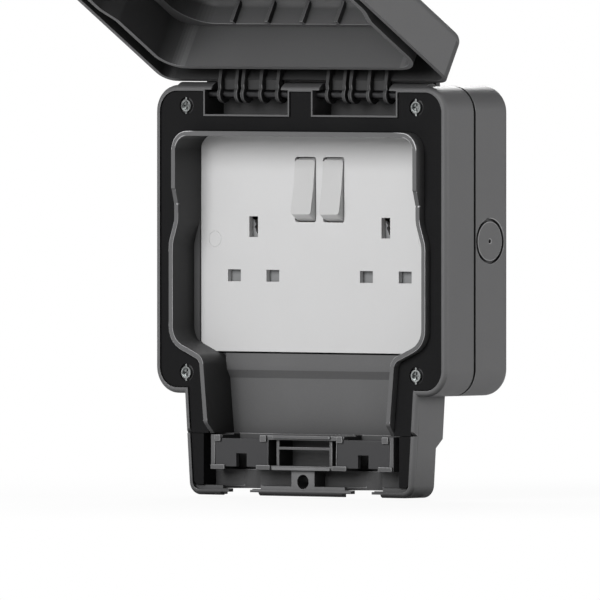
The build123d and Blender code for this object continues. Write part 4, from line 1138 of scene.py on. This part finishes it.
class SOCKET_OT_mechanism(Operator):
    """Base and brass behind the plate"""

    bl_idname = "socket.mechanism"
    bl_label = "Mechanism"

    def execute(self, context):
        finishes = context.scene.socket_finishes
        white = plastic("base_plastic", finishes.base, (0.45, 0.55), tone=0.04, bump=0.2)
        brass = metal("stamped_brass", finishes.brass, (0.22, 0.38), (400.0, 2600.0, 2600.0))
        moulded_copy("mechanism_base", "mechanism_tray", white, 0.3 * MM)
        bars = [node for node, piece in NODES.items() if piece.data.materials[0].name == "brass"]
        if not bars:
            raise RuntimeError("no node of brass was found")
        for node in bars:
            dress(node, brass)
        return {"FINISHED"}


class SOCKET_OT_stage(Operator):
    """Pale floor, soft light and the camera"""

    bl_idname = "socket.stage"
    bl_label = "Stage"

    def execute(self, context):
        studio = context.scene.socket_studio
        aim = Vector(studio.aim)
        build_floor(CAD_BOX[0][2] - 1.0 * MM)
        build_sky(studio.sky)
        soft_lamp("key_lamp", aim, -4.0, 25.0, studio.key)
        soft_lamp("side_lamp", aim, 114.0, 8.0, studio.side)
        soft_lamp("back_lamp", aim, -140.0, 34.0, studio.back)
        build_camera(studio, aim)
        context.scene.view_settings.view_transform = "Standard"
        return {"FINISHED"}


def backdrop_share(tree):
    """1 for rays that come straight from the camera and show the background."""
    return tree.node("ShaderNodeLightPath").outputs["Is Camera Ray"]


def build_floor(level):
    """A wide white floor, self-lit to the camera so that it runs into the white behind."""
    mesh = bpy.data.meshes.new("studio_floor")
    half = 12.0
    corners = [(-half, -half, level), (half, -half, level), (half, half, level), (-half, half, level)]
    mesh.from_pydata(corners, [], [(0, 1, 2, 3)])
    material = bpy.data.materials.new("studio_white")
    material.use_nodes = True
    tree = Tree(material.node_tree)
    matt = material.node_tree.nodes["Principled BSDF"]
    matt.inputs["Base Color"].default_value = (0.6, 0.6, 0.6, 1.0)
    matt.inputs["Roughness"].default_value = 0.9
    glow = tree.feed(tree.node("ShaderNodeEmission"), Color=(1.0, 1.0, 1.0, 1.0), Strength=1.0)
    reach = tree.node("ShaderNodeVectorMath", operation="LENGTH")
    tree.put(reach.inputs[0], tree.node("ShaderNodeTexCoord").outputs["Object"])
    fade = tree.node("ShaderNodeMapRange", interpolation_type="SMOOTHSTEP")
    tree.feed(fade, Value=reach.outputs["Value"], From_Min=0.15, From_Max=0.5, To_Min=0.92, To_Max=1.0)
    blend = tree.node("ShaderNodeMixShader")
    tree.put(blend.inputs[0], tree.math("MULTIPLY", backdrop_share(tree), fade.outputs[0]))
    tree.put(blend.inputs[1], matt.outputs[0])
    tree.put(blend.inputs[2], glow.outputs[0])
    tree.put(material.node_tree.nodes["Material Output"].inputs["Surface"], blend.outputs[0])
    floor = add_piece("studio_floor", mesh, material)


def build_sky(strength):
    """Even light from all round, white where it shows."""
    world = bpy.data.worlds.new("studio_sky")
    bpy.context.scene.world = world
    world.use_nodes = True
    tree = Tree(world.node_tree)
    dome = world.node_tree.nodes["Background"]
    level = tree.node("ShaderNodeMapRange")
    tree.feed(level, Value=backdrop_share(tree), To_Min=strength, To_Max=1.0)
    tree.put(dome.inputs["Strength"], level.outputs[0])
    dome.inputs["Color"].default_value = (1.0, 1.0, 1.0, 1.0)


def away(azimuth, elevation):
    """Direction from the object at an azimuth to the right of the front and an elevation, in radians."""
    flat = math.cos(elevation)
    return Vector((math.sin(azimuth) * flat, -math.cos(azimuth) * flat, math.sin(elevation)))


def soft_lamp(name, aim, azimuth, elevation, power):
    """A square area lamp that faces the object, its angles in degrees."""
    lamp = bpy.data.lights.new(name, "AREA")
    lamp.size = LAMP_SIZE
    lamp.energy = power
    back = away(math.radians(azimuth), math.radians(elevation))
    holder = bpy.data.objects.new(name, lamp)
    holder.location = aim + back * LAMP_DISTANCE
    holder.rotation_euler = (-back).to_track_quat("-Z", "Y").to_euler()
    bpy.context.scene.collection.objects.link(holder)


def build_camera(studio, aim):
    """A long lens at the photograph's angle."""
    lens = bpy.data.cameras.new("camera")
    lens.sensor_width = 36.0
    lens.lens = lens.sensor_width * studio.distance / studio.view_height
    lens.clip_end = 100.0
    back = away(studio.azimuth, studio.elevation)
    camera = bpy.data.objects.new("camera", lens)
    camera.location = aim + back * studio.distance
    camera.rotation_euler = (-back).to_track_quat("-Z", "Y").to_euler()
    bpy.context.scene.collection.objects.link(camera)
    bpy.context.scene.camera = camera


OPERATORS = (
    SOCKET_OT_housing,
    SOCKET_OT_seals,
    SOCKET_OT_plate,
    SOCKET_OT_rockers,
    SOCKET_OT_gates,
    SOCKET_OT_screws,
    SOCKET_OT_hinge_pins,
    SOCKET_OT_springs,
    SOCKET_OT_mechanism,
    SOCKET_OT_stage,
)
SETTINGS = {
    "socket_finishes": SocketFinishes,
    "socket_screws": SocketScrews,
    "socket_springs": SocketSprings,
    "socket_studio": SocketStudio,
}


class SOCKET_PT_panel(Panel):
    """Buttons and sizes for the socket"""

    bl_idname = "SOCKET_PT_panel"
    bl_label = "Weatherproof socket"
    bl_space_type = "VIEW_3D"
    bl_region_type = "UI"
    bl_category = "Socket"

    def draw(self, context):
        for operator in OPERATORS:
            self.layout.operator(operator.bl_idname)
        for name in SETTINGS:
            settings = getattr(context.scene, name)
            column = self.layout.column()
            for label in settings.__annotations__:
                column.prop(settings, label)


def register():
    """Registers the settings, operators and panel."""
    for name, group in SETTINGS.items():
        bpy.utils.register_class(group)
        setattr(bpy.types.Scene, name, PointerProperty(type=group))
    for operator in OPERATORS:
        bpy.utils.register_class(operator)
    bpy.utils.register_class(SOCKET_PT_panel)


def unregister():
    """Takes everything out again."""
    bpy.utils.unregister_class(SOCKET_PT_panel)
    for operator in reversed(OPERATORS):
        bpy.utils.unregister_class(operator)
    for name, group in SETTINGS.items():
        delattr(bpy.types.Scene, name)
        bpy.utils.unregister_class(group)


def main():
    """Builds the looks in order."""
    register()
    bpy.ops.socket.housing()
    bpy.ops.socket.seals()
    bpy.ops.socket.plate()
    bpy.ops.socket.rockers()
    bpy.ops.socket.gates()
    bpy.ops.socket.screws()
    bpy.ops.socket.hinge_pins()
    bpy.ops.socket.springs()
    bpy.ops.socket.mechanism()
    bpy.ops.socket.stage()


if __name__ == "__main__":
    main()
